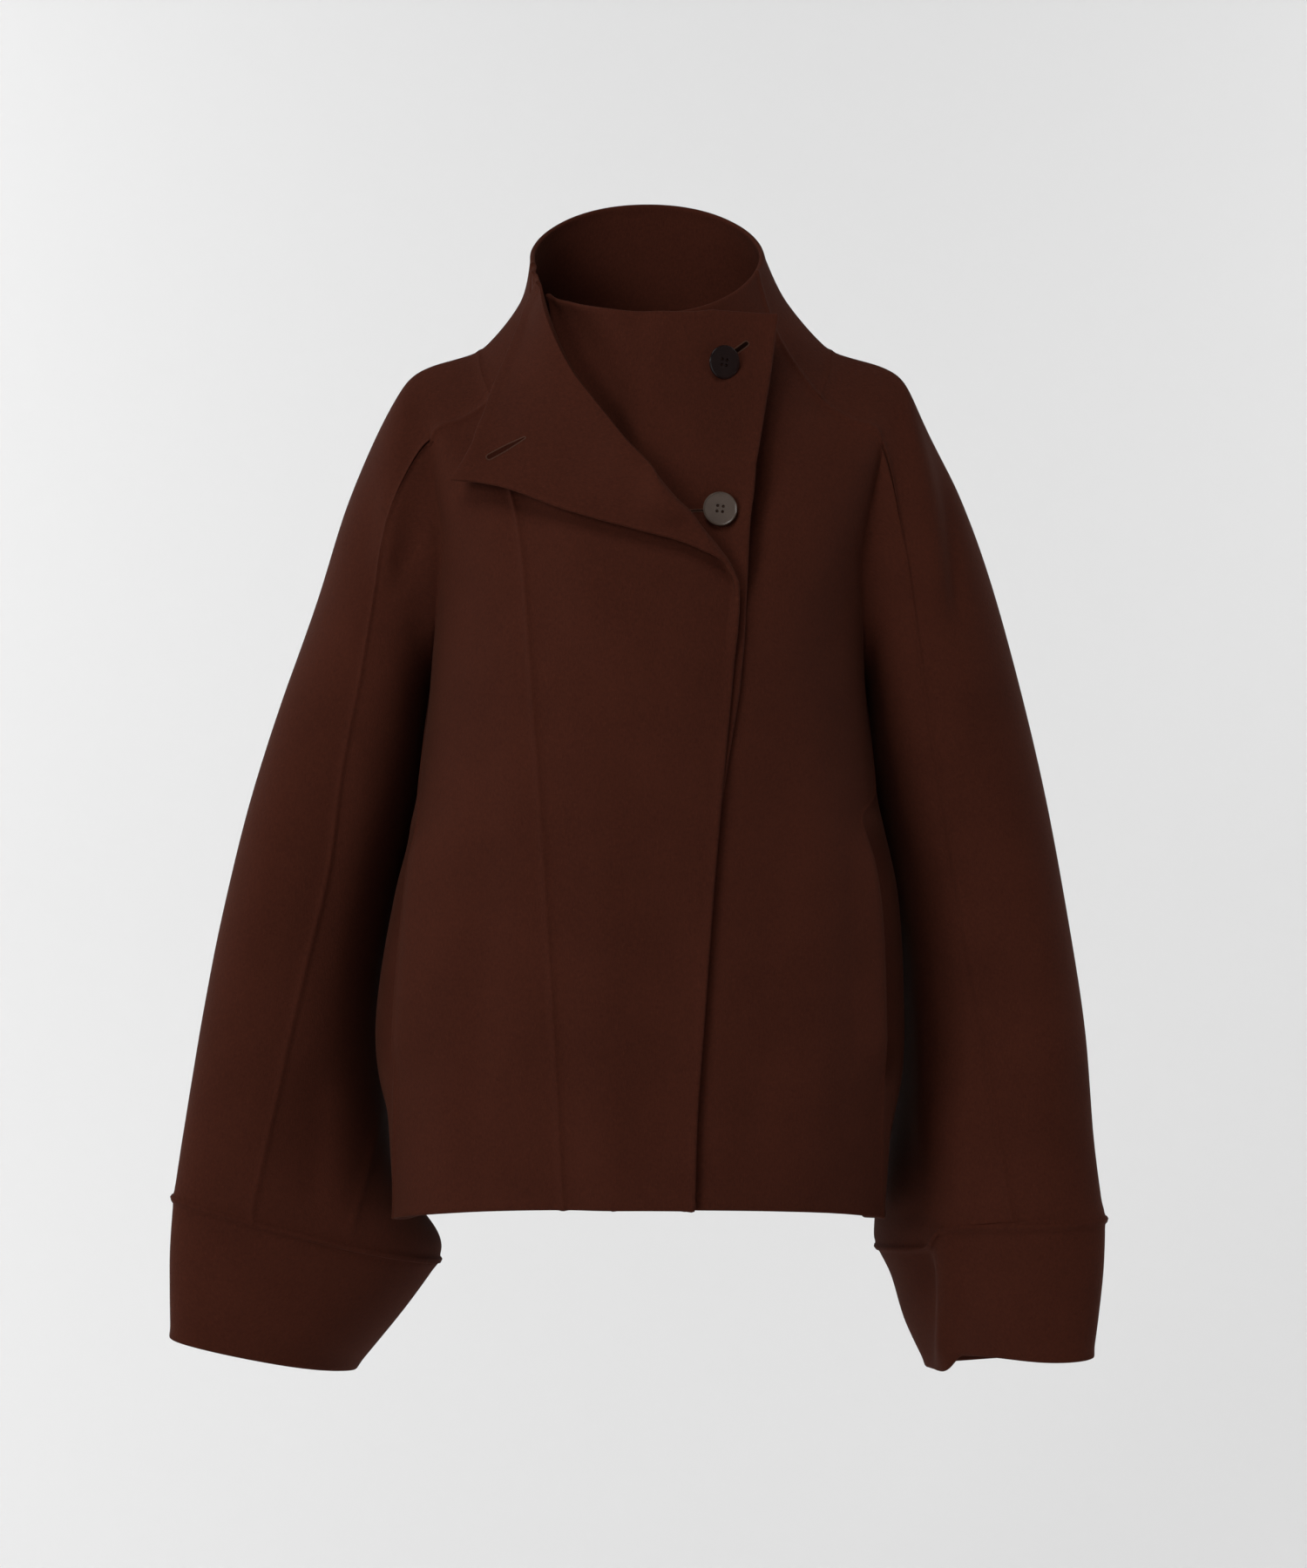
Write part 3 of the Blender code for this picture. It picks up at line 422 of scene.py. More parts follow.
def side_drift(section, side):
    """Turn of a side seam away from an even line, taken up by the columns next to it."""
    return np.where(section < UNDERARM, back_seam(section, side) - on_curve(SIDE_EVEN, section), 0.0)


def pocket_open(section):
    """How far the side seam is open along the pocket mouth."""
    middle = (POCKET_START + POCKET_END) / 2
    return eased(POCKET_EASE * (1 - np.abs(section - middle) / (POCKET_END - middle)))


def pocket_recess(section, beside):
    """How far the back lies below the front along the pocket mouth, at angles from the seam."""
    return POCKET_DEPTH * pocket_open(section) * np.exp(-(beside / POCKET_SPREAD) ** 2)


def back_grid():
    section, share = low_rows[:, None], shares(BACK_COLUMNS)[None, :]
    first, last = side_drift(section, 1), side_drift(section, -1)
    start, end = back_seam(section, 1) - first, 360 - back_seam(section, -1) + last
    degrees = start + (end - start) * share + first * (1 - share) ** BACK_DRIFT - last * share ** BACK_DRIFT
    beside = np.minimum(degrees - back_seam(section, 1), 360 - back_seam(section, -1) - degrees)
    tuck = eased((TUCK_TOP - section) / TUCK_TOP) * eased(beside / TUCK_EASE)
    tuck = tuck * np.exp(-((beside - TUCK_PLACE) / TUCK_SPREAD) ** 2)
    return trunk(section, degrees, -HEM_TUCK * tuck - pocket_recess(section, beside))


back = back_grid()
sew_in(cloth("back", back, {"start": 1, "end": 1, "high": 1}), back, "back")


# The left front, one piece with its half of the collar end, which lies lowest in the closure. Its free edge
# runs hidden behind the right front, and the side seam is left open for the pocket mouth.
ARMHOLE_FRONT = ((5, 92), (6, 75), (7, 68), (8, 65))
SADDLE_FRONT = ((8, 65), (9, 65), (10, 66))
COLLAR_LEFT = ((10, 66), (11, 67), (12, 70))
COLLAR_RIGHT = ((10, 62), (11, 69), (12, 78))
UNDERLAP_EDGE = ((0, -0.008), (10, -0.004), (12, 0.012))
POCKET_LIFT, LIFT_REACH, EDGE_ROLL, EDGE_ROUND = 0.0080, 0.05, 0.0050, 0.007
LEFT_COLUMNS, LEFT_DRIFT, LEFT_WIDTH = 52, 6, 0.18
CHEST_HOLLOW, HOLLOW_PLACE, HOLLOW_WIDTH = 0.007, 0.074, 0.016
HOLLOW_START, HOLLOW_RISE, HOLLOW_END, HOLLOW_FALL = 6.6, 1.2, 11, 1.5
WIDEST = 0.998


def angle_at(section, x):
    """Angles on the front of the trunk at distances to the left of the middle."""
    ring = table_row(RINGS, np.asarray(section, float))
    share = np.clip((x - ring[..., 6]) / ring[..., 3], -WIDEST, WIDEST)
    return np.degrees(np.arcsin(power(share, ring[..., 7] / 2)))


def front_seam(section, side):
    side_seam = on_curve(SIDE_LEFT if side > 0 else SIDE_RIGHT, section)
    collar = on_curve(COLLAR_LEFT if side > 0 else COLLAR_RIGHT, section)
    upper = np.where(section <= SHOULDER, on_curve(ARMHOLE_FRONT, section), on_curve(SADDLE_FRONT, section))
    return np.where(section <= UNDERARM, side_seam, np.where(section <= NECK, upper, collar))


def mouth_lift(section, inside):
    """Height of a front along its pocket mouth, where its edge rolls in, at distances inside that edge."""
    lift = POCKET_LIFT * eased(1 - inside / LIFT_REACH)
    return pocket_open(section) * (lift - EDGE_ROLL * np.exp(-(inside / EDGE_ROUND) ** 2))


def left_grid():
    section, share = ROWS[:, None], shares(LEFT_COLUMNS)[None, :]
    drift = side_drift(section, 1)
    start, end = angle_at(section, on_curve(UNDERLAP_EDGE, section)), front_seam(section, 1) - drift
    degrees = start + (end - start) * share + drift * share ** LEFT_DRIFT
    beside = (bare_trunk(section, degrees)[..., 0] - HOLLOW_PLACE) / HOLLOW_WIDTH
    hollow = CHEST_HOLLOW * np.exp(-beside ** 2) * eased((section - HOLLOW_START) / HOLLOW_RISE)
    hollow = hollow * eased((HOLLOW_END - section) / HOLLOW_FALL)
    return trunk(section, degrees, mouth_lift(section, LEFT_WIDTH * (1 - share)) - hollow)


left = left_grid()
sew_in(cloth("front_left", left, {"end": 1 - pocket_open(ROWS)}), left, "front_left")


# The side panel of the right front, joined to the centre panel by the long seam that comes out below the
# lapel. Its outer edge is open along the other pocket mouth.
PANEL_SEAM = ((0, -0.068), (1, -0.0713), (2, -0.0755), (3, -0.081), (4, -0.0857), (5, -0.092), (6, -0.0945),
              (7, -0.0972), (8, -0.103), (9, -0.114))
PANEL_TOP = 9
SIDE_COLUMNS, SIDE_WIDTH = 28, 0.095


def panel_seam(section):
    """Angles of the long seam, and above the neck of the collar seam that it runs into."""
    section = np.asarray(section, float)
    seam = angle_at(section, on_curve(PANEL_SEAM, section))
    low = angle_at(PANEL_TOP, PANEL_SEAM[-1][1])
    turning = low + (-COLLAR_RIGHT[0][1] - low) * (section - PANEL_TOP)
    upper = np.where(section < NECK, turning, -on_curve(COLLAR_RIGHT, section))
    return np.where(section <= PANEL_TOP, seam, upper)


def side_grid():
    section, share = low_rows[:, None], shares(SIDE_COLUMNS)[None, :]
    start, end = -front_seam(section, -1), panel_seam(section)
    return trunk(section, start + (end - start) * share, mouth_lift(section, SIDE_WIDTH * share))


side_panel = side_grid()
side_sewn = {"start": 1 - pocket_open(low_rows), "end": 1, "high": 1}
sew_in(cloth("front_right_side", side_panel, side_sewn), side_panel, "front_right_side")


# The fly, a second layer under the right front that carries the buttonholes. It is caught in behind the long
# seam and its free edge stands a little off the left front beside the buttons.
LAYER, RIM_SETTLING = 0.0034, 0.35
OVERLAP_EASE, OVERLAP_SHARE, OVERLAP_LEAST = 22.0, 0.5, 4.0
FRONT_EDGE = ((0, 0.0287), (1, 0.0309), (2, 0.0363), (3, 0.0430), (4, 0.0492), (5, 0.0567), (6, 0.0600),
              (6.7, 0.0612), (7.0, 0.0610), (7.25, 0.0598), (7.6, 0.0560), (8, 0.0485), (8.6, 0.0345),
              (9.3, 0.0165), (10, -0.0040), (10.5, -0.0285), (11, -0.0525), (11.5, -0.0690), (12, -0.0830))
FLY_EDGE = ((0, 0.0240), (1, 0.0270), (2, 0.0325), (3, 0.0395), (3.6, 0.0450), (4.2, 0.0530), (5, 0.0632),
            (6, 0.0662), (7, 0.0678), (8, 0.0693), (9, 0.0715), (10, 0.0742))
FLY_TOP_EDGE, FLY_CATCH, FLY_CATCH_SHARE = 0.0915, 14.0, 0.45
FLY_RIM = ((0, 11.7), (0.15, 11.93), (0.3, 12), (0.5, 11.98), (0.7, 11.86), (1, 11.78))
FLY_COLUMNS = 40

# Heights of the fly, each with the places and sections that it is eased over: over the left front, off it
# along the open edge, flared at that edge, and sunk into the hollow behind the lapel's roll.
COVER_START, COVER_WIDTH = 0.03, 0.025
FLY_STAND_OFF, OFF_START, OFF_WIDTH, OFF_LOW, OFF_RISE, OFF_HIGH = 0.007, 0.018, 0.04, 7.4, 2, 11
FLY_FLARE, FLARE_WIDTH, FLARE_LOW, FLARE_RISE = 0.005, 0.014, 6.5, 2
FLY_HOLLOW, SUNK_PLACE, SUNK_WIDTH, SUNK_LOW, SUNK_RISE = 0.016, 0.004, 0.030, 8.4, 1.6
SUNK_HIGH, SUNK_FALL = 12.2, 0.8
# The upper corner runs straight on from a distance to the left, in a direction that is flattened.
FLY_STRAIGHT, STRAIGHT_STEP, STRAIGHT_LOW, STRAIGHT_RISE = 0.040, 0.004, 8, 3
STRAIGHT_FLAT = np.array((1, 0.75, 0.1))


def front_edge(section):
    """Distance to the left of the right front's edge, and above the break of the line of the lapel's roll."""
    return on_curve(FRONT_EDGE, section)


def right_lift(section, degrees):
    """Height of the right front over the trunk: nothing at its seam, two layers over the closure."""
    start = panel_seam(section)
    span = np.maximum(OVERLAP_LEAST, angle_at(section, front_edge(section)) - start)
    full = 2 * LAYER * (1 - RIM_SETTLING * eased((section - NECK) / (RIM - NECK)))
    return full * eased((degrees - start) / np.minimum(OVERLAP_EASE, OVERLAP_SHARE * span))


def fly_lift(section, x, edge):
    """Height of the fly over the trunk: under the right front, over the left one, and off it at its edge."""
    degrees, roll = angle_at(section, x), front_edge(section)
    covered = LAYER * eased((x - on_curve(UNDERLAP_EDGE, section) + COVER_START) / COVER_WIDTH)
    open_edge = eased((x - roll - OFF_START) / OFF_WIDTH) * eased((section - OFF_LOW) / OFF_RISE)
    open_edge = open_edge * (1 - RIM_SETTLING * eased(section - OFF_HIGH))
    flare = FLY_FLARE * eased((x - edge + FLARE_WIDTH) / FLARE_WIDTH)
    flare = flare * eased((section - FLARE_LOW) / FLARE_RISE)
    hollow = np.exp(-((x - roll - SUNK_PLACE) / SUNK_WIDTH) ** 2) * eased((section - SUNK_LOW) / SUNK_RISE)
    hollow = hollow * (1 - covered / LAYER)
    lift = np.maximum(right_lift(section, degrees) - LAYER, covered) + FLY_STAND_OFF * open_edge + flare
    return lift - FLY_HOLLOW * hollow * eased((SUNK_HIGH - section) / SUNK_FALL)


def fly_grid():
    """The fly follows the trunk, and its upper corner runs straight on, off the round of the neck."""
    share = shares(FLY_COLUMNS)[None, :]
    rise = np.clip((ROWS[:, None] - NECK) / (RIM - NECK), 0, 1)
    section = np.minimum(ROWS[:, None], NECK) + (on_curve(FLY_RIM, share) - NECK) * rise
    edge = on_curve(FLY_EDGE, section) + (FLY_TOP_EDGE - FLY_EDGE[-1][1]) * rise
    seam, roll = panel_seam(section), front_edge(section)
    start = seam + np.minimum(FLY_CATCH, FLY_CATCH_SHARE * (angle_at(section, roll) - seam))
    begin = bare_trunk(section, start)[..., 0]
    x = begin + (edge - begin) * share
    held = np.minimum(x, FLY_STRAIGHT)
    near, before, wrapped = (trunk(section, angle_at(section, at), fly_lift(section, at, edge))
                             for at in (held, held - STRAIGHT_STEP, x))
    ahead = (near - before) / (near - before)[..., :1] * STRAIGHT_FLAT
    straight = near + (x - held)[..., None] * ahead
    return wrapped + eased((section - STRAIGHT_LOW) / STRAIGHT_RISE)[..., None] * (straight - wrapped)


fly = fly_grid()
fly_piece = cloth("fly_right", fly, {})
sew_in(fly_piece, fly, "fly_right")


# The centre panel of the right front, which is cut in one with the end of the collar and with the lapel. The
# lapel rolls over along a slanting line from the collar rim to the break, and lies folded back on the chest.
LAPEL_BEND = ((4.5, 0), (5.6, 8), (6.4, 30), (7.0, 68), (7.25, 90), (7.8, 140), (8.5, 180))
LAPEL_ROLL = ((4.5, 0.0040), (7.25, 0.0040), (8.5, 0.0060), (10, 0.0115), (11.3, 0.0105), (12, 0.0060))
LAPEL_BULGE = ((7.25, 0), (8.5, 0.0030), (10, 0.0075), (11.3, 0.0045), (12, 0))
FLAP_WIDTH = ((0, 0.006), (4.5, 0.007), (7.25, 0.009), (8.0, 0.016), (8.6, 0.027))
LAPEL_REST, BULGE_SPREAD, LAID_LOW, LAID_RISE = 0.0195, 16, 7.9, 0.8
ROUND_SHARE, FLAT_LEAST = 0.6, 0.002
LAPEL_EDGE = np.array(((0.060, -0.193), (0.043, -0.170), (0.026, -0.161), (-0.0065, -0.151),
                       (-0.0641, -0.1339), (-0.107, -0.1187), (-0.1428, -0.1083)))
LAPEL_SHARE = ((7.25, 0), (7.6, 0.037), (8, 0.088), (8.6, 0.17), (9.3, 0.275), (10, 0.385), (10.5, 0.525),
               (11, 0.685), (11.5, 0.82), (12, 1))
BASE_COLUMNS, ROLL_COLUMNS, LAPEL_COLUMNS = 34, 9, 26
CHEST_LOW, HALVINGS = 4.0, 26


def section_at(x, z):
    """Sections of the front of the trunk at distances to the left and heights."""
    low, high = np.full_like(x, CHEST_LOW), np.full_like(x, float(RIM))
    for _ in range(HALVINGS):
        middle = (low + high) / 2
        below = bare_trunk(middle, angle_at(middle, x))[..., 2] < z
        low, high = np.where(below, middle, low), np.where(below, high, middle)
    return low


def lapel_edge(share):
    """Place on the lapel's free edge at a share of its length from the break."""
    steps = np.linalg.norm(np.diff(LAPEL_EDGE, axis=0), axis=1)
    place = np.insert(np.cumsum(steps), 0, 0) / steps.sum()
    return np.array([on_curve(np.stack((place, LAPEL_EDGE[:, k]), -1), share) for k in (0, 1)])


def over_chest(x, z, lift):
    section = section_at(x, z)
    return trunk(section, angle_at(section, x), lift)


def hinge_angle(section):
    """Angle of the line that the cloth begins to bend at, so that its outline keeps to the front edge."""
    bend, roll = np.radians(on_curve(LAPEL_BEND, section)), on_curve(LAPEL_ROLL, section)
    straight = np.maximum(0.0, on_curve(FLAP_WIDTH, section) - roll * bend)
    reach = np.where(bend < math.pi / 2, roll * np.sin(bend) + straight * np.cos(bend), roll)
    return angle_at(section, front_edge(section) - reach)


def bulged(section, degrees):
    """Height of the centre panel over the trunk, which swells where the lapel rolls over."""
    near = np.exp(-((hinge_angle(section) - degrees) / BULGE_SPREAD) ** 2)
    return right_lift(section, degrees) + on_curve(LAPEL_BULGE, section) * near


def hinge_point(section):
    degrees = hinge_angle(section)
    return trunk(section, degrees, bulged(section, degrees))


def centre_row(section):
    """One row of the centre panel: along the trunk, then round the roll and back over the chest."""
    start, hinge = panel_seam(section), hinge_angle(section)
    degrees = start + (hinge - start) * shares(BASE_COLUMNS)
    row = trunk(section, degrees, bulged(section, degrees))
    return np.concatenate((row, turned_back(section, hinge, row)))


def turned_back(section, hinge, row):
    """The roll and the lapel of one row, bent about the slanting line of the roll.

    It is only part turned near the break, and above it the lapel is laid down on the chest."""
    bend, roll = math.radians(on_curve(LAPEL_BEND, section)), on_curve(LAPEL_ROLL, section)
    foot, out = row[-1], trunk_normal(np.float64(section), np.float64(hinge))
    axis = unit(hinge_point(min(section + NEARBY, RIM)) - hinge_point(max(section - NEARBY, 0)))
    along = unit(row[-1] - row[-4])
    aside = unit(along - axis * along.dot(axis))
    out = unit(np.cross(axis, aside)) * np.sign(np.cross(axis, aside).dot(out))
    width = float(on_curve(FLAP_WIDTH, section))
    round_part = min(roll * bend / along.dot(aside), ROUND_SHARE * width) if bend < math.pi else roll * bend
    flat_part = max(width - round_part, FLAT_LEAST)
    share = np.arange(1, LAPEL_COLUMNS + 1) / LAPEL_COLUMNS
    steps = np.arange(1, ROLL_COLUMNS + 1) / ROLL_COLUMNS * round_part
    steps = np.append(steps, round_part + share * flat_part)
    flat = steps * along.dot(aside)
    turn, rest = np.minimum(flat / roll, bend)[:, None], np.maximum(0.0, flat - roll * bend)[:, None]
    bent = foot + axis * (steps * along.dot(axis))[:, None]
    bent = bent + aside * (roll * np.sin(turn) + rest * math.cos(bend))
    bent = bent + out * (roll * (1 - np.cos(turn)) + rest * math.sin(bend))
    laid = eased((section - LAID_LOW) / LAID_RISE)
    if not laid:
        return bent
    low = bulged(np.float64(section), hinge) + 2 * roll
    begin, end = foot[[0, 2]], lapel_edge(on_curve(LAPEL_SHARE, section))
    place = begin + (end - begin) * share[:, None]
    lift = low + (LAPEL_REST - low) * eased(share)
    first = bent[ROLL_COLUMNS - 1] - over_chest(begin[:1], begin[1:], np.array([low]))[0]
    lapel = over_chest(place[:, 0], place[:, 1], lift) + first * (1 - share[:, None])
    rolled, loose = bent[:ROLL_COLUMNS], bent[ROLL_COLUMNS:]
    return np.concatenate((rolled, loose + (lapel - loose) * laid))


centre = np.array([centre_row(section) for section in ROWS])
centre_piece = cloth("front_right_centre", centre, {"start": 1})
sew_in(centre_piece, centre, "front_right_centre")


# The stand collar, one strip round the back of the neck. It is sewn to the fronts, the shoulder saddles and
# the back, and its upper edge is turned in and free.
COLLAR_COLUMNS = 96

collar_rows = ROWS[ROWS >= NECK]
collar_start, collar_end = on_curve(COLLAR_LEFT, collar_rows), 360 - on_curve(COLLAR_RIGHT, collar_rows)
collar_turn = (collar_end - collar_start)[:, None] * shares(COLLAR_COLUMNS)
collar = trunk(collar_rows[:, None], collar_start[:, None] + collar_turn)
sew_in(cloth("collar", collar, {"low": 1, "start": 1, "end": 1}), collar, "collar")


# The sleeves, each of two pieces. The outer sleeve runs on over the shoulder as a saddle up to the collar.
# The under sleeve is set into the lower armhole. They hang from the shoulder, full at the elbow.

# Sections run from the armhole to the cuff's edge: outer end across and up, inner end across and up, depth of
# both ends, front and back depth, and the share of the way to the inner end where the front seam runs.
SLEEVES = {1: np.array((
    (0.1940, -0.0200, 0.1635, -0.2550, 0.000, 0.008, 0.064, 0.066, 0.300),
    (0.2110, -0.0580, 0.1655, -0.2620, 0.004, 0.014, 0.066, 0.068, 0.420),
    (0.2380, -0.1120, 0.1665, -0.2880, 0.008, 0.018, 0.068, 0.070, 0.520),
    (0.2620, -0.1770, 0.1695, -0.3260, 0.012, 0.022, 0.070, 0.070, 0.570),
    (0.2856, -0.2620, 0.1790, -0.3760, 0.012, 0.026, 0.070, 0.070, 0.605),
    (0.3060, -0.3500, 0.1900, -0.4360, 0.010, 0.030, 0.069, 0.069, 0.625),
    (0.3230, -0.4450, 0.1930, -0.5100, 0.004, 0.034, 0.067, 0.067, 0.585),
    (0.3350, -0.5270, 0.1910, -0.5800, -0.004, 0.038, 0.064, 0.064, 0.530),
    (0.3410, -0.6086, 0.1810, -0.6500, -0.012, 0.040, 0.060, 0.060, 0.450),
    (0.3465, -0.6560, 0.1770, -0.6900, -0.016, 0.040, 0.056, 0.056, 0.415),
    (0.3495, -0.6740, 0.1790, -0.7040, -0.018, 0.040, 0.054, 0.054, 0.410),
    (0.3485, -0.7110, 0.1900, -0.7270, -0.020, 0.040, 0.052, 0.052, 0.415),
    (0.3445, -0.7480, 0.2006, -0.7620, -0.022, 0.038, 0.049, 0.049, 0.420),
    (0.3400, -0.7800, 0.2170, -0.7970, -0.024, 0.036, 0.046, 0.046, 0.430),
)), -1: np.array((
    (0.1900, -0.0200, 0.1680, -0.2550, 0.000, 0.008, 0.064, 0.066, 0.242),
    (0.2108, -0.0558, 0.1735, -0.2620, 0.004, 0.012, 0.066, 0.068, 0.302),
    (0.2380, -0.1190, 0.1770, -0.2880, 0.008, 0.016, 0.068, 0.070, 0.394),
    (0.2618, -0.1938, 0.1805, -0.3260, 0.012, 0.020, 0.070, 0.070, 0.445),
    (0.2890, -0.2720, 0.1895, -0.3760, 0.012, 0.024, 0.070, 0.070, 0.493),
    (0.3148, -0.3536, 0.2035, -0.4360, 0.010, 0.028, 0.069, 0.069, 0.574),
    (0.3352, -0.4386, 0.2140, -0.5100, 0.004, 0.030, 0.066, 0.067, 0.547),
    (0.3495, -0.5134, 0.2115, -0.5820, -0.004, 0.030, 0.062, 0.064, 0.472),
    (0.3638, -0.6018, 0.2020, -0.6480, -0.010, 0.030, 0.056, 0.060, 0.395),
    (0.3700, -0.6426, 0.1725, -0.6940, -0.012, 0.030, 0.050, 0.056, 0.315),
    (0.3720, -0.6576, 0.1715, -0.7140, -0.014, 0.030, 0.046, 0.050, 0.312),
    (0.3747, -0.6970, 0.1768, -0.7228, -0.016, 0.030, 0.045, 0.048, 0.317),
    (0.3747, -0.7310, 0.2006, -0.7548, -0.018, 0.028, 0.045, 0.046, 0.330),
    (0.3740, -0.7650, 0.2360, -0.7976, -0.020, 0.026, 0.044, 0.044, 0.358),
))}
BACKSET = ((0, 0), (2, 0.022), (5, 0.034), (8, 0.046), (9.3, 0.046), (10, 0.042), (13, 0.030))
BACKSET_BEND = 5
CUFF_KINK, KINK_LOW, KINK_RISE = {1: 0.013, -1: 0.0}, 8.8, 1.2
KINK_PLACE, KINK_SLANT, KINK_OUTER, KINK_INNER = 0.71, 0.03, 0.45, 0.05
BACK_SEAM = ((0, 0.06), (1, 0.26), (2, 0.38), (4, 0.5), (13, 0.5))
SLEEVE_SQUARE = 2.3
SLEEVE_END, CUFF_END = 10, 13
SETTING_IN, SETTING_SWELL = 1.3, 0.6

# Folds of the front and of the back of each sleeve, in the same terms as the folds of the body.
SLEEVE_FRONT_FOLDS = {1: (
    (0.192, -0.022, 0.2115, -0.100, 0.0060, 0.009),
    (0.2045, -0.062, 0.230, -0.222, 0.0060, 0.010),
    (0.2105, -0.045, 0.240, -0.225, -0.0060, 0.010),
    (0.231, -0.220, 0.243, -0.330, 0.0022, 0.014),
    (0.198, -0.360, 0.2214, -0.670, 0.0040, 0.014),
    (0.188, -0.400, 0.203, -0.670, -0.0040, 0.014),
    (0.2265, -0.660, 0.2335, -0.815, 0.0070, 0.009),
    (0.207, -0.680, 0.220, -0.815, -0.0070, 0.011),
    (0.295, -0.400, 0.309, -0.645, 0.0022, 0.020),
    (0.268, -0.340, 0.280, -0.610, -0.0022, 0.018),
), -1: (
    (-0.196, -0.025, -0.2055, -0.110, 0.0045, 0.010),
    (-0.204, -0.070, -0.203, -0.190, 0.0045, 0.010),
    (-0.216, -0.060, -0.221, -0.190, -0.0025, 0.012),
    (-0.186, -0.090, -0.190, -0.190, -0.0030, 0.008),
    (-0.272, -0.538, -0.2536, -0.690, -0.0060, 0.022),
    (-0.2133, -0.5822, -0.2375, -0.700, 0.0014, 0.0028),
    (-0.302, -0.560, -0.312, -0.690, 0.0022, 0.014),
    (-0.282, -0.200, -0.318, -0.540, 0.0022, 0.020),
    (-0.240, -0.260, -0.262, -0.520, -0.0022, 0.018),
)}
SLEEVE_BACK_FOLDS = (
    (0.205, -0.100, 0.285, -0.300, -0.0050, 0.016),
    (0.225, -0.170, 0.310, -0.370, 0.0040, 0.016),
    (0.305, -0.370, 0.230, -0.450, -0.0050, 0.014),
    (0.325, -0.420, 0.240, -0.520, 0.0042, 0.014),
    (0.335, -0.490, 0.260, -0.620, -0.0040, 0.016),
    (0.300, -0.560, 0.330, -0.690, 0.0026, 0.018),
)
OUTER_COLUMNS, SLEEVE_ROWS, FINE_TURNS = 50, 171, 90
BEND_SPREAD, BEND_EDGE, BEND_STEP, BEND_ROUNDS = 16, 5, 0.5, 60


def tube(side, place, turn, lift=0.0):
    """Points of a sleeve at sections and at angles from its outer end towards the front."""
    place, turn = np.broadcast_arrays(np.asarray(place, float), np.asarray(turn, float))
    row = table_row(SLEEVES[side], place)
    outer = np.stack((side * row[..., 0], row[..., 4], row[..., 1]), -1)
    inner = np.stack((side * row[..., 2], row[..., 5], row[..., 3]), -1)
    ahead = power(np.sin(np.radians(turn)), 2 / SLEEVE_SQUARE)
    outward = power(np.cos(np.radians(turn)), 2 / SLEEVE_SQUARE)
    inward = (1 - outward) / 2
    arm = (outer - inner) / 2 * outward[..., None]
    arm[..., 1] += on_curve(BACKSET, place) * inward ** BACKSET_BEND
    arm[..., 1] -= np.where(ahead > 0, row[..., 6], row[..., 7]) * ahead
    below = np.maximum(0.0, place - SLEEVE_END)
    beside = inward - KINK_PLACE - KINK_SLANT * below
    kink = CUFF_KINK[side] * eased((place - KINK_LOW) / KINK_RISE) * eased(3 * ahead)
    arm[..., 2] += kink * np.exp(-(beside / np.where(beside < 0, KINK_OUTER, KINK_INNER)) ** 2)
    bare = (outer + inner) / 2 + arm
    swell = lift + eased(2 * ahead) * folds_at(SLEEVE_FRONT_FOLDS[side], bare[..., 0], bare[..., 2])
    swell = swell + eased(-2 * ahead) * folds_at(SLEEVE_BACK_FOLDS, np.abs(bare[..., 0]), bare[..., 2])
    return bare + unit(arm) * swell[..., None]


def seam_turn(share):
    """Angle of a point that lies a share of the way from the outer to the inner end."""
    return np.degrees(np.arccos(power(1 - 2 * share, SLEEVE_SQUARE / 2)))


def spaced(side, place, start, end, parts):
    """Angles between two of a section at shares of the way along the cloth."""
    turns = np.linspace(start, end, FINE_TURNS)
    along = lengths(tube(side, place, turns), 0)
    return np.interp(parts, along / along[-1], turns)


def saddle_turns(section):
    start, end = on_curve(SADDLE_FRONT, section), on_curve(SADDLE_BACK, section)
    return start + (end - start) * shares(OUTER_COLUMNS)


arm_rows = ROWS[(ROWS >= UNDERARM) & (ROWS <= SHOULDER)]
saddle_rows = ROWS[(ROWS > SHOULDER) & (ROWS <= NECK)]
sleeve_rows = np.linspace(0, SLEEVE_END, SLEEVE_ROWS)


def armhole(side):
    """Lower armhole from the back of the shoulder under the arm to its front."""
    down = trunk(arm_rows[::-1], side * on_curve(ARMHOLE_BACK, arm_rows[::-1]))
    return np.concatenate((down, trunk(arm_rows[1:], side * on_curve(ARMHOLE_FRONT, arm_rows[1:]))))


def sleeve_row(side, place, under_parts):
    """Angles of the columns of the outer and of the under sleeve at a section."""
    front = seam_turn(table_row(SLEEVES[side], np.float64(place))[8])
    behind = -seam_turn(on_curve(BACK_SEAM, place))
    outer = spaced(side, place, front, behind, shares(OUTER_COLUMNS))
    return outer, spaced(side, place, behind, front - 360, under_parts)


def upwards(rows, side):
    """Rows from the cuff upwards, with columns that make the faces look outwards on either side."""
    grid = np.array(rows)[::-1]
    return grid if side > 0 else grid[:, ::-1]


def rounded(rows, middle):
    """Rows with the bend at one of them eased out, except along the seams at both ends."""
    grid = np.array(rows)
    near = np.exp(-((np.arange(len(grid)) - middle) / BEND_SPREAD) ** 2)[:, None]
    inside = eased(BEND_EDGE * np.minimum(shares(OUTER_COLUMNS), 1 - shares(OUTER_COLUMNS)))[None, :]
    ease = BEND_STEP * (near * inside)[1:-1, :, None]
    for _ in range(BEND_ROUNDS):
        grid[1:-1] += ease * ((grid[:-2] + grid[2:]) / 2 - grid[1:-1])
    return grid


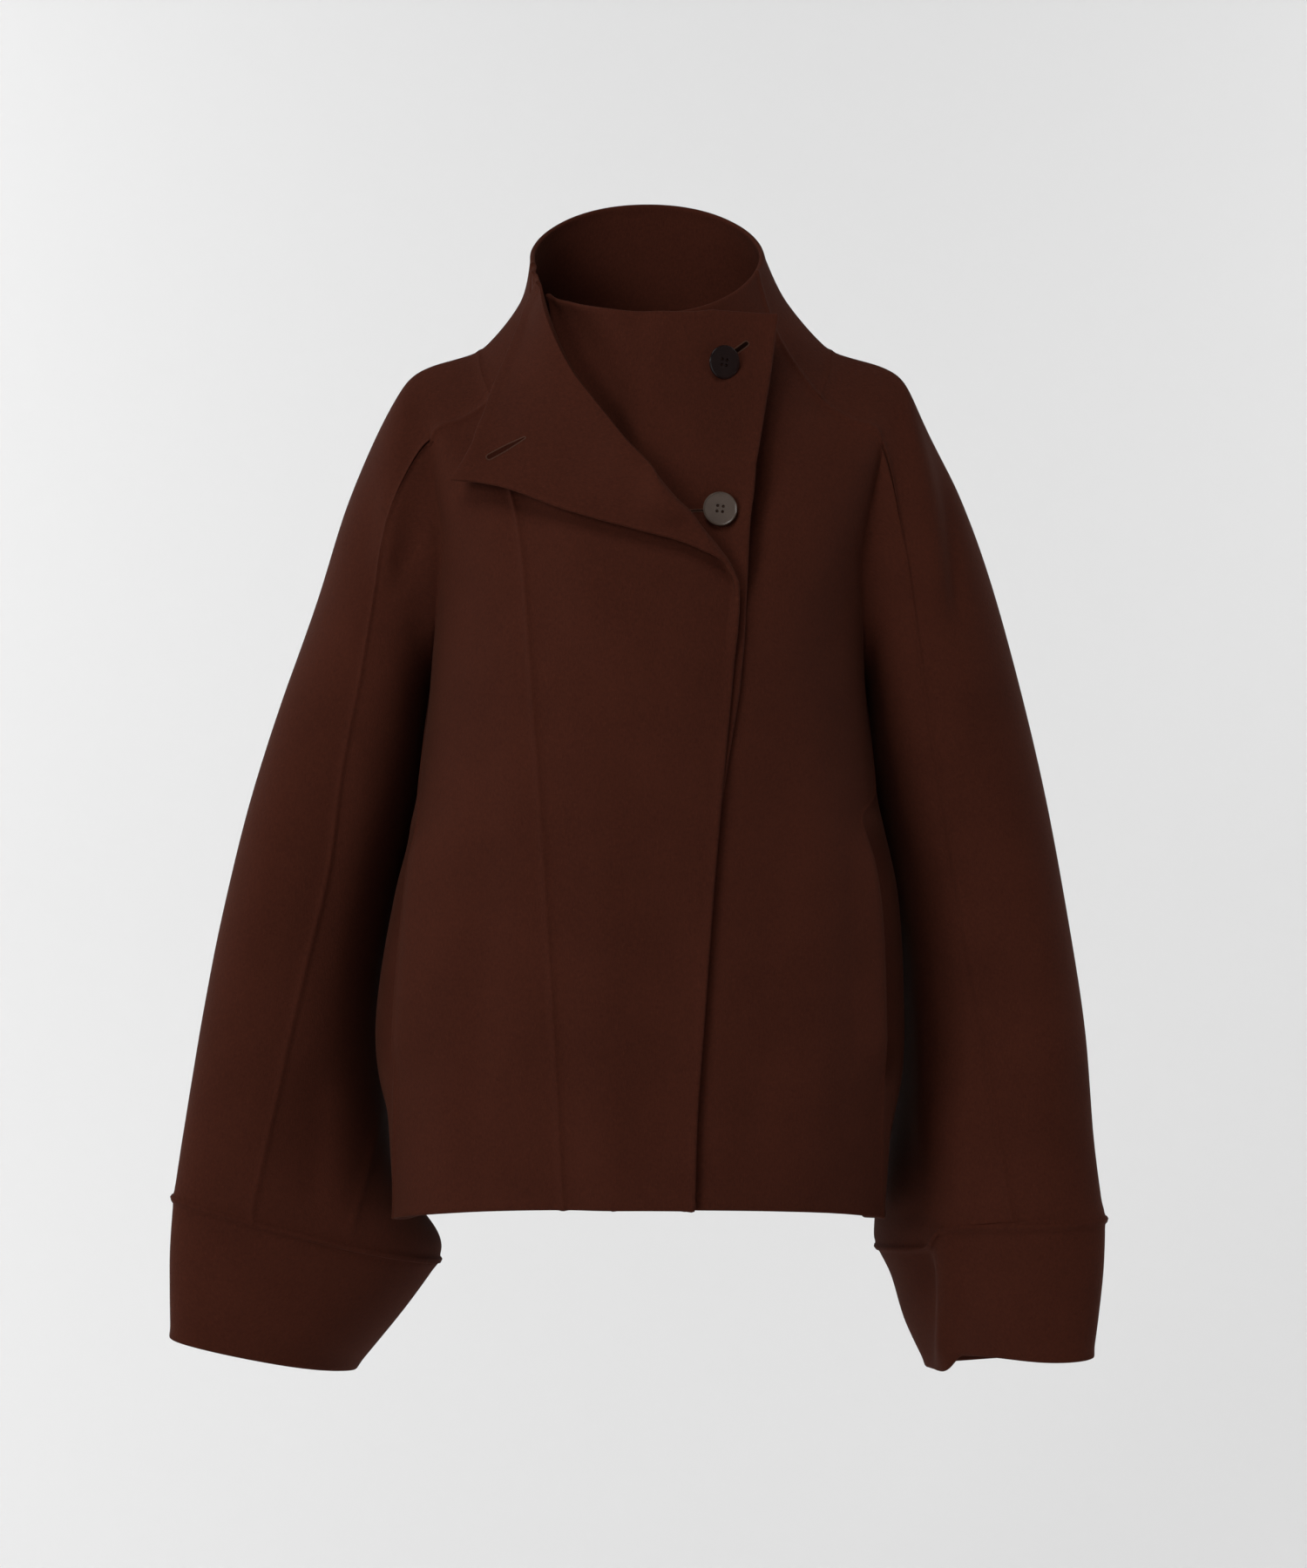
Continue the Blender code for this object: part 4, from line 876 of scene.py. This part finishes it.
def sleeve_grids(side):
    low_edge = armhole(side)
    under_parts = lengths(low_edge, 0) / lengths(low_edge, 0)[-1]
    outer_rows = [trunk(section, side * saddle_turns(section)) for section in saddle_rows[::-1]]
    over = trunk(float(SHOULDER), side * saddle_turns(SHOULDER))
    under_rows = []
    for place in sleeve_rows:
        t = min(1.0, place / SETTING_IN)
        free = t + SETTING_SWELL * t * (1 - t)
        outer, under = sleeve_row(side, place, under_parts)
        outer_rows.append(over + (tube(side, place, outer) - over) * free)
        under_rows.append(low_edge + (tube(side, place, under) - low_edge) * free)
    outer_rows = rounded(outer_rows, len(saddle_rows))
    return upwards(outer_rows, side), upwards(under_rows, side), under_parts


# The cuffs, straight bands that are sewn to the end of the sleeve with the seam pressed up into a low ridge.
CUFF_RIDGE, RIDGE_PLACE, RIDGE_WIDTH = 0.0018, 10.05, 0.07
cuff_rows = np.concatenate(((10, 10.03, 10.08, 10.15), np.linspace(10.25, CUFF_END, 30)))

for side, word in ((1, "left"), (-1, "right")):
    outer_sleeve, under_sleeve, under_parts = sleeve_grids(side)
    all_round = {"low": 1, "high": 1, "start": 1, "end": 1}
    for part, grid in (("outer", outer_sleeve), ("under", under_sleeve)):
        name = f"sleeve_{word}_{part}"
        sew_in(cloth(name, grid, all_round), grid, name)
    band = []
    for place in cuff_rows:
        outer, under = sleeve_row(side, place, under_parts)
        ridge = CUFF_RIDGE * math.exp(-((place - RIDGE_PLACE) / RIDGE_WIDTH) ** 2)
        band.append(tube(side, place, np.concatenate((outer, under[1:-1])), ridge))
    band = upwards(band, side)
    sew_in(cloth(f"cuff_{word}", band, {"high": 1}, ring=True), band, f"cuff_{word}", ring=True)


# The pocket facings, strips of the same wool behind the open stretch of each side seam.
FACING_COLUMNS, FACING_ROWS, FACING_INSET = 8, 40, 0.05
FACING_START, FACING_WIDTH, FACING_BEHIND = -5, 11, 1.3 * LAYER

for side, word in ((1, "left"), (-1, "right")):
    section = np.linspace(POCKET_START + FACING_INSET, POCKET_END - FACING_INSET, FACING_ROWS)[:, None]
    seam = front_seam(section, side)
    facing = seam + FACING_START + FACING_WIDTH * np.linspace(0, 1, FACING_COLUMNS)[None, :]
    beside = np.maximum(0.0, facing - seam)
    facing = trunk(section, side * facing, -FACING_BEHIND - pocket_recess(section, beside))
    facing = facing if side > 0 else facing[:, ::-1]
    sew_in(cloth(f"pocket_{word}", facing, {}), facing, f"pocket_{word}")


# The buttons, turned from horn with a flat face, a thin raised rim and four holes, and polished. Both are of
# one horn, coloured as a lit and a shaded copy: the lower one's paler colour holds a painted reflection of
# the bright studio, and the upper one is darkened as painted shade on its leaning face. They stand on thread
# stems, and the upper one leans.
BUTTON_DIAMETER, BUTTON_THICKNESS, BUTTON_SIDES = 0.026, 0.0036, 72
BUTTON_RIM, BUTTON_DISH, BUTTON_SHARP = 0.0012, 0.0005, math.radians(35)
STEM_RADIUS, STEM_FOOT, STEM_LENGTH = 0.0026, 0.0028, 0.001
HOLE_RADIUS, HOLE_PITCH, HOLE_TURN = 0.00115, 0.0042, math.radians(-8)
HOLE_SIDES, HOLE_DEPTH, HOLE_MIDDLE = 20, 0.0020, -0.0012
HOLES = [(x * HOLE_PITCH, y * HOLE_PITCH) for x in (-0.5, 0.5) for y in (-0.5, 0.5)]
# Each button: how far it is moved to the left and up, how its face leans to the left and up, how far it
# stands off, its dark and pale horn colours, with painted shade on the upper button and a painted reflection
# on the lower one, and its gloss.
BUTTONS = {
    "button_upper": ((-0.0045, -0.0040), (0.10, -0.34), 0.0012,
                     (0.0075, 0.003, 0.0026, 1), (0.015, 0.0065, 0.0055, 1), 0.1),
    "button_lower": ((-0.0011, -0.0017), (-0.06, -0.20), 0.0004,
                     (0.054, 0.036, 0.027, 1), (0.090, 0.064, 0.050, 1), 0.3),
}


def polished_horn(name, dark, pale, gloss):
    """Streaked horn, brushed on its face and polished on its rim, told apart by the reach from the middle."""
    material, shader, weave, place = new_material(name)
    layers = weave.add("ShaderNodeMapping", {}, {
        "Vector": place, "Rotation": (0.3, 0.5, 0.7), "Scale": (90, 260, 90)})
    streak = weave.noise(layers, 1, Detail=4, Distortion=0.6)
    lathe = weave.add("ShaderNodeUVMap", {"uv_map": "lathe"})
    rim = weave.add("ShaderNodeSeparateXYZ", {}, {"Vector": lathe}).between(0.86, 0.90)
    weave.feed(shader, {
        "Base Color": weave.mix(streak, dark, pale), "Roughness": 0.58 + streak * 0.08 - rim * 0.42,
        "Specular IOR Level": gloss})
    return material


def button_pose(node):
    """Place of a button's face from its solid, and its axis from the front under it and from its lean."""
    low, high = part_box(node)
    middle = (low + high) / 2
    (left, up), (aside, upward), stand_off = BUTTONS[node][:3]
    middle = middle + Vector((left, 0, up))
    section = section_at(np.array([middle.x]), np.array([middle.z]))
    facing = Vector(trunk_normal(section, angle_at(section, np.array([middle.x])))[0])
    facing = (facing + Vector((aside, 0, upward))).normalized()
    turn = facing.to_track_quat("Z", "Y").to_matrix().to_4x4()
    return Matrix.Translation(middle) @ turn @ Matrix.Translation((0, 0, BUTTON_THICKNESS / 2 + stand_off))


def turned_button(node):
    """A button on its axis, turned to a profile that runs from the end of the stem round to the face."""
    radius, thick, rim, dish = BUTTON_DIAMETER / 2, BUTTON_THICKNESS, BUTTON_RIM, BUTTON_DISH
    profile = (
        (0.0, -thick - STEM_LENGTH), (STEM_RADIUS, -thick - STEM_LENGTH), (STEM_FOOT, -0.62 * thick),
        (0.80 * radius, -0.62 * thick), (0.90 * radius, -0.52 * thick), (0.98 * radius, -0.30 * thick),
        (radius, -0.18 * thick), (radius - 0.12 * rim, -0.07 * thick), (radius - 0.4 * rim, 0.0),
        (radius - 0.65 * rim, -0.05 * dish), (radius - 0.9 * rim, -0.5 * dish),
        (radius - 1.15 * rim, -0.95 * dish), (radius - 1.6 * rim, -dish),
        (0.5 * radius, -1.02 * dish), (0.0, -1.04 * dish),
    )
    mesh = bmesh.new()
    rings = []
    for reach, height in profile:
        count = BUTTON_SIDES if reach else 1
        turns = [2 * math.pi * k / count for k in range(count)]
        rings.append([mesh.verts.new((reach * math.cos(a), reach * math.sin(a), height)) for a in turns])
    for low, high in zip(rings, rings[1:]):
        for k in range(BUTTON_SIDES):
            n = (k + 1) % BUTTON_SIDES
            corners = (low[k % len(low)], low[n % len(low)], high[n % len(high)], high[k % len(high)])
            mesh.faces.new(list(dict.fromkeys(corners)))
    data = bpy.data.meshes.new(node + "_horn")
    mesh.to_mesh(data)
    mesh.free()
    return drilled(placed(node + "_horn", data))


def drilled(button):
    """The button with its four holes, which end in the stem behind it."""
    drills = bmesh.new()
    for x, y in HOLES:
        place = Matrix.Rotation(HOLE_TURN, 4, "Z") @ Matrix.Translation((x, y, HOLE_MIDDLE))
        bmesh.ops.create_cone(drills, cap_ends=True, segments=HOLE_SIDES, radius1=HOLE_RADIUS,
                              radius2=HOLE_RADIUS, depth=HOLE_DEPTH, matrix=place)
    data = bpy.data.meshes.new("drills")
    drills.to_mesh(data)
    drills.free()
    cutter = placed("drills", data)
    cut = button.modifiers.new("holes", "BOOLEAN")
    cut.operation, cut.object, cut.solver = "DIFFERENCE", cutter, "EXACT"
    mesh = bpy.data.meshes.new_from_object(button.evaluated_get(bpy.context.evaluated_depsgraph_get()))
    button.modifiers.clear()
    button.data = mesh
    bpy.data.objects.remove(cutter)
    return button


for node in BUTTONS:
    button = turned_button(node)
    reach = [min(1.0, 2 * v.co.xy.length / BUTTON_DIAMETER) for v in button.data.vertices]
    lathe = button.data.uv_layers.new(name="lathe")
    for loop in button.data.loops:
        lathe.uv[loop.index].vector = (reach[loop.vertex_index], 0.5)
    button.data.transform(button_pose(node))
    button.data.shade_smooth()
    button.data.set_sharp_from_angle(angle=BUTTON_SHARP)
    button.data.materials.append(polished_horn(node, *BUTTONS[node][3:]))
    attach(button, "root")
    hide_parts(node)


# The sewing of the buttons and of the buttonholes, in silk twist of the coat's own brown. Thread fills the
# holes of each button, and each buttonhole is a slit with short stitches laid side by side round it.
THREAD_RADIUS, STITCH_LENGTH, STITCH_SPACING = 0.00018, 0.0011, 0.00050
THREAD_SIDES, THREAD_PARTS, THREAD_RISE = 6, 3, 0.3 * THREAD_RADIUS
SLIT_STEPS, SLIT_MIDDLE, SLIT_EASE, SLIT_UNDER = 40, 0.35, 0.00005, 0.0002
SLIT_DEPTH, SLIT_RISE, PROBE = -0.0006, 0.00012, 0.001
STRAND_DEPTH, STRAND_STEP, STRAND_LENGTH, STRAND_RADIUS = -0.0018, 0.0004, 0.0010, 0.0004
TWIST, TWIST_DARK = (0.095, 0.040, 0.024, 1), (0.057, 0.024, 0.0144, 1)
# Painted shade inside the buttonhole slits: very dark in the fly's, a lighter brown in the lapel's.
FLY_SLIT_SHADE = (0.004, 0.0015, 0.001, 1), (0.010, 0.004, 0.003, 1)
LAPEL_SLIT_SHADE = (0.018, 0.0050, 0.0030, 1), (0.032, 0.0090, 0.0055, 1)
# Each buttonhole: the piece that it is cut in, its ends as distance to the left and height, half its width
# near the first end and near the last, and the dark and the pale painted shade of its slit.
BUTTONHOLES = (
    ("lapel", centre_piece, (-0.1265, -0.0885), (-0.0978, -0.0732), 0.0017, 0.0003, *LAPEL_SLIT_SHADE),
    ("upper", fly_piece, (0.0722, 0.0014), (0.0545, -0.0123), 0.0015, 0.0013, *FLY_SLIT_SHADE),
    ("lower", fly_piece, (0.0210, -0.1300), (0.0500, -0.1290), 0.0002, 0.0008, *FLY_SLIT_SHADE),
)


def silk_twist(name):
    material, shader, weave, place = new_material(name)
    strand = weave.noise(place, 1500, Detail=2)
    weave.feed(shader, {
        "Base Color": weave.mix(strand, TWIST_DARK, TWIST), "Roughness": 0.55, "Specular IOR Level": 0.15})
    return material


def stitch_tree():
    """Geometry nodes that lay short round threads at even steps along a path, across it as it says."""
    tree = bpy.data.node_groups.new("laid_stitches", "GeometryNodeTree")
    for name, kind in (("Path", "Geometry"), ("Spacing", "Float"), ("Length", "Float"), ("Radius", "Float"),
                       ("Thread", "Material")):
        tree.interface.new_socket(name, in_out="INPUT", socket_type="NodeSocket" + kind)
    tree.interface.new_socket("Stitches", in_out="OUTPUT", socket_type="NodeSocketGeometry")
    nodes = tree.nodes
    given, made = nodes.new("NodeGroupInput"), nodes.new("NodeGroupOutput")
    path, steps = nodes.new("GeometryNodeMeshToCurve"), nodes.new("GeometryNodeResampleCurve")
    steps.mode = "LENGTH"
    thread = nodes.new("GeometryNodeMeshCylinder")
    thread.inputs["Vertices"].default_value = THREAD_SIDES
    thread.inputs["Side Segments"].default_value = THREAD_PARTS
    across, aim = nodes.new("GeometryNodeInputNamedAttribute"), nodes.new("FunctionNodeAlignRotationToVector")
    across.data_type, across.inputs["Name"].default_value = "FLOAT_VECTOR", "across"
    laid, real = nodes.new("GeometryNodeInstanceOnPoints"), nodes.new("GeometryNodeRealizeInstances")
    dyed = nodes.new("GeometryNodeSetMaterial")
    for source, output, target, entry in (
        (given, "Path", path, "Mesh"), (path, "Curve", steps, "Curve"), (given, "Spacing", steps, "Length"),
        (given, "Length", thread, "Depth"), (given, "Radius", thread, "Radius"),
        (steps, "Curve", laid, "Points"), (thread, "Mesh", laid, "Instance"),
        (across, "Attribute", aim, "Vector"), (aim, "Rotation", laid, "Rotation"),
        (laid, "Instances", real, "Geometry"), (real, "Geometry", dyed, "Geometry"),
        (given, "Thread", dyed, "Material"), (dyed, "Geometry", made, "Stitches"),
    ):
        tree.links.new(source.outputs[output], target.inputs[entry])
    return tree


laid_stitches = stitch_tree()


def laid(name, path, across, length, spacing, radius, thread, closed):
    """A row of stitches along a path as a plain mesh."""
    mesh = bpy.data.meshes.new(name)
    count = len(path)
    joins = [(k, (k + 1) % count) for k in range(count if closed else count - 1)]
    mesh.from_pydata([tuple(p) for p in path], joins, [])
    directions = mesh.attributes.new("across", "FLOAT_VECTOR", "POINT")
    directions.data.foreach_set("vector", np.array(across, float).ravel())
    row = placed(name, mesh)
    sewing = row.modifiers.new("stitches", "NODES")
    sewing.node_group = laid_stitches
    given = {"Spacing": spacing, "Length": length, "Radius": radius, "Thread": thread}
    for item in laid_stitches.interface.items_tree:
        if item.in_out == "INPUT" and item.name in given:
            sewing[item.identifier] = given[item.name]
    plain = bpy.data.meshes.new_from_object(row.evaluated_get(bpy.context.evaluated_depsgraph_get()))
    row.modifiers.clear()
    row.data = plain
    plain.shade_smooth()
    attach(row, "root")


def on_front(tree, x, z):
    """Point and direction of a piece's outside at a distance to the left and a height."""
    place, facing, _, _ = tree.ray_cast(Vector((x, -1.0, z)), Vector((0, 1, 0)))
    return place, facing


def slit_outline(first, last, first_half, last_half):
    """Outline of a flat buttonhole, down one side and back, as places and directions away from the slit."""
    first, last = Vector(first), Vector(last)
    along = (last - first).normalized()
    aside = Vector((-along.y, along.x))
    length = (last - first).length
    places = []
    widths = ((0, first_half), (SLIT_MIDDLE, first_half), (1, last_half))
    for sign, way in ((-1, 1), (1, -1)):
        for k in range(SLIT_STEPS + 1)[::way]:
            part = (1 - math.cos(math.pi * k / SLIT_STEPS)) / 2
            ends = min(1.0, part * length / first_half, (1 - part) * length / last_half)
            half = on_curve(widths, part) * math.sqrt(ends * (2 - ends))
            places.append(first + along * length * part + aside * sign * (half + SLIT_EASE))
    away = []
    for k in range(len(places)):
        path = (places[(k + 1) % len(places)] - places[k - 1]).normalized()
        away.append(Vector((path.y, -path.x)))
    return places, away


def buttonhole(name, piece, first, last, first_half, last_half, dark, pale):
    skin = BVHTree.FromObject(piece, bpy.context.evaluated_depsgraph_get())
    places, away = slit_outline(first, last, first_half, last_half)
    path, across, slit = [], [], []
    for place, direction in zip(places, away):
        point, facing = on_front(skin, place.x, place.y)
        beyond, _ = on_front(skin, place.x + PROBE * direction.x, place.y + PROBE * direction.y)
        outward = (beyond - point).normalized()
        path.append(point + outward * STITCH_LENGTH / 2 + facing * THREAD_RISE)
        across.append(outward)
        slit.append((point + outward * SLIT_UNDER, facing))
    material = silk_twist(f"buttonhole_{name}")
    laid(f"buttonhole_{name}", path, across, STITCH_LENGTH, STITCH_SPACING, THREAD_RADIUS, material, True)
    cut_slit(name, slit, painted_shade_wool(f"slit_{name}", dark, pale))


def cut_slit(name, edge, material):
    """The inside of a slit, a thin lens of cloth coloured dark as painted shade between its stitched lips."""
    mesh = bmesh.new()
    low, high = ([mesh.verts.new(point + facing * rise) for point, facing in edge]
                 for rise in (SLIT_DEPTH, SLIT_RISE))
    mesh.faces.new(low[::-1])
    mesh.faces.new(high)
    for k in range(len(edge)):
        mesh.faces.new((low[k - 1], low[k], high[k], high[k - 1]))
    bmesh.ops.recalc_face_normals(mesh, faces=mesh.faces)
    bmesh.ops.triangulate(mesh, faces=mesh.faces)
    data = bpy.data.meshes.new(f"slit_{name}")
    mesh.to_mesh(data)
    mesh.free()
    data.materials.append(material)
    slit = placed(f"slit_{name}", data)
    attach(slit, "root")


# Wool coloured as painted shade, for the sheet that fills a slit.
def painted_shade_wool(name, dark, pale):
    material, shader, weave, place = new_material(name)
    felt = weave.noise(place, 600, Detail=3)
    weave.feed(shader, {
        "Base Color": weave.mix(felt, dark, pale), "Roughness": 1.0, "Specular IOR Level": 0.0})
    return material


for hole in BUTTONHOLES:
    buttonhole(*hole)

for node in BUTTONS:
    pose = button_pose(node) @ Matrix.Rotation(HOLE_TURN, 4, "Z")
    across = [pose.to_3x3() @ Vector((0, 0, 1))] * 2
    for k, (x, y) in enumerate(HOLES):
        name, strand = f"{node}_thread_{k + 1}", pose @ Vector((x, y, STRAND_DEPTH))
        beside = [strand + pose.to_3x3() @ Vector((step, 0, 0)) for step in (-STRAND_STEP, STRAND_STEP)]
        laid(name, beside, across, STRAND_LENGTH, 2 * STRAND_STEP, STRAND_RADIUS, silk_twist(name), False)


# The place where the coat is shown: a pale sweep of paper, which is seen through from behind, soft light from
# the left and from above, and the camera.
FLOOR, SWEEP_DEPTH, SWEEP_HEIGHT, SWEEP_BEND = -1.35, 2.2, 3.2, 0.9
SWEEP_FRONT, SWEEP_HALF, SWEEP_STEPS = -6.0, 7.0, 24


def paper_sweep():
    line, start = [(SWEEP_FRONT, FLOOR)], SWEEP_DEPTH - SWEEP_BEND
    for turn in np.linspace(0, math.pi / 2, SWEEP_STEPS):
        line.append((start + SWEEP_BEND * math.sin(turn), FLOOR + SWEEP_BEND * (1 - math.cos(turn))))
    line.append((SWEEP_DEPTH, SWEEP_HEIGHT))
    points = [(x, y, z) for y, z in line for x in (-SWEEP_HALF, SWEEP_HALF)]
    faces = [(2 * k, 2 * k + 1, 2 * k + 3, 2 * k + 2) for k in range(len(line) - 1)]
    mesh = bpy.data.meshes.new("sweep")
    mesh.from_pydata(points, [], faces)
    mesh.shade_smooth()
    material, shader, weave, _ = new_material("paper")
    weave.feed(shader, {"Base Color": (0.80, 0.80, 0.80, 1), "Roughness": 0.9})
    seen_through = weave.add("ShaderNodeMixShader", {}, {
        "Fac": weave.add("ShaderNodeNewGeometry", out="Backfacing"),
        "Shader": Weave(material.node_tree, shader.outputs["BSDF"]),
        "Shader_001": weave.add("ShaderNodeBsdfTransparent")})
    weave.feed(material.node_tree.nodes["Material Output"], {"Surface": seen_through})
    mesh.materials.append(material)
    sweep = placed("sweep", mesh)


def soft_light(name, place, target, size, power_watts):
    data = bpy.data.lights.new(name, "AREA")
    data.shape, data.size, data.size_y, data.energy = "RECTANGLE", size[0], size[1], power_watts
    lamp = placed(name, data)
    lamp.location = place
    lamp.rotation_euler = (Vector(target) - Vector(place)).to_track_quat("-Z", "Y").to_euler()


paper_sweep()
soft_light("key", (-2.2, -3.1, 0.55), (0, 0, -0.40), (1.5, 1.5), 56)
soft_light("top", (-0.7, -2.2, 2.7), (0, 0, -0.35), (1.6, 1.6), 54)
soft_light("fill", (2.7, -2.9, -0.3), (0, 0, -0.35), (2.0, 2.0), 11)
soft_light("paper_left", (-2.6, 0.7, 0.6), (-1.2, 2.2, -1.2), (1.8, 2.8), 47)
soft_light("paper_right", (2.6, 0.7, 0.6), (1.2, 2.2, -1.2), (1.8, 2.8), 37)
world = bpy.data.worlds.new("studio")
world.use_nodes = True
Weave(world.node_tree).feed(world.node_tree.nodes["Background"], {"Color": (1, 1, 1, 1), "Strength": 0.05})
bpy.context.scene.world = world
bpy.context.scene.view_settings.view_transform = "Standard"

eye = bpy.data.cameras.new("eye")
eye.sensor_fit, eye.sensor_height, eye.sensor_width, eye.lens = "VERTICAL", 36.0, 36.0, 117.6
camera = placed("eye", eye)
camera.location = (0, -4.0, -0.3366)
camera.rotation_euler = (math.radians(90), 0, 0)
bpy.context.scene.camera = camera
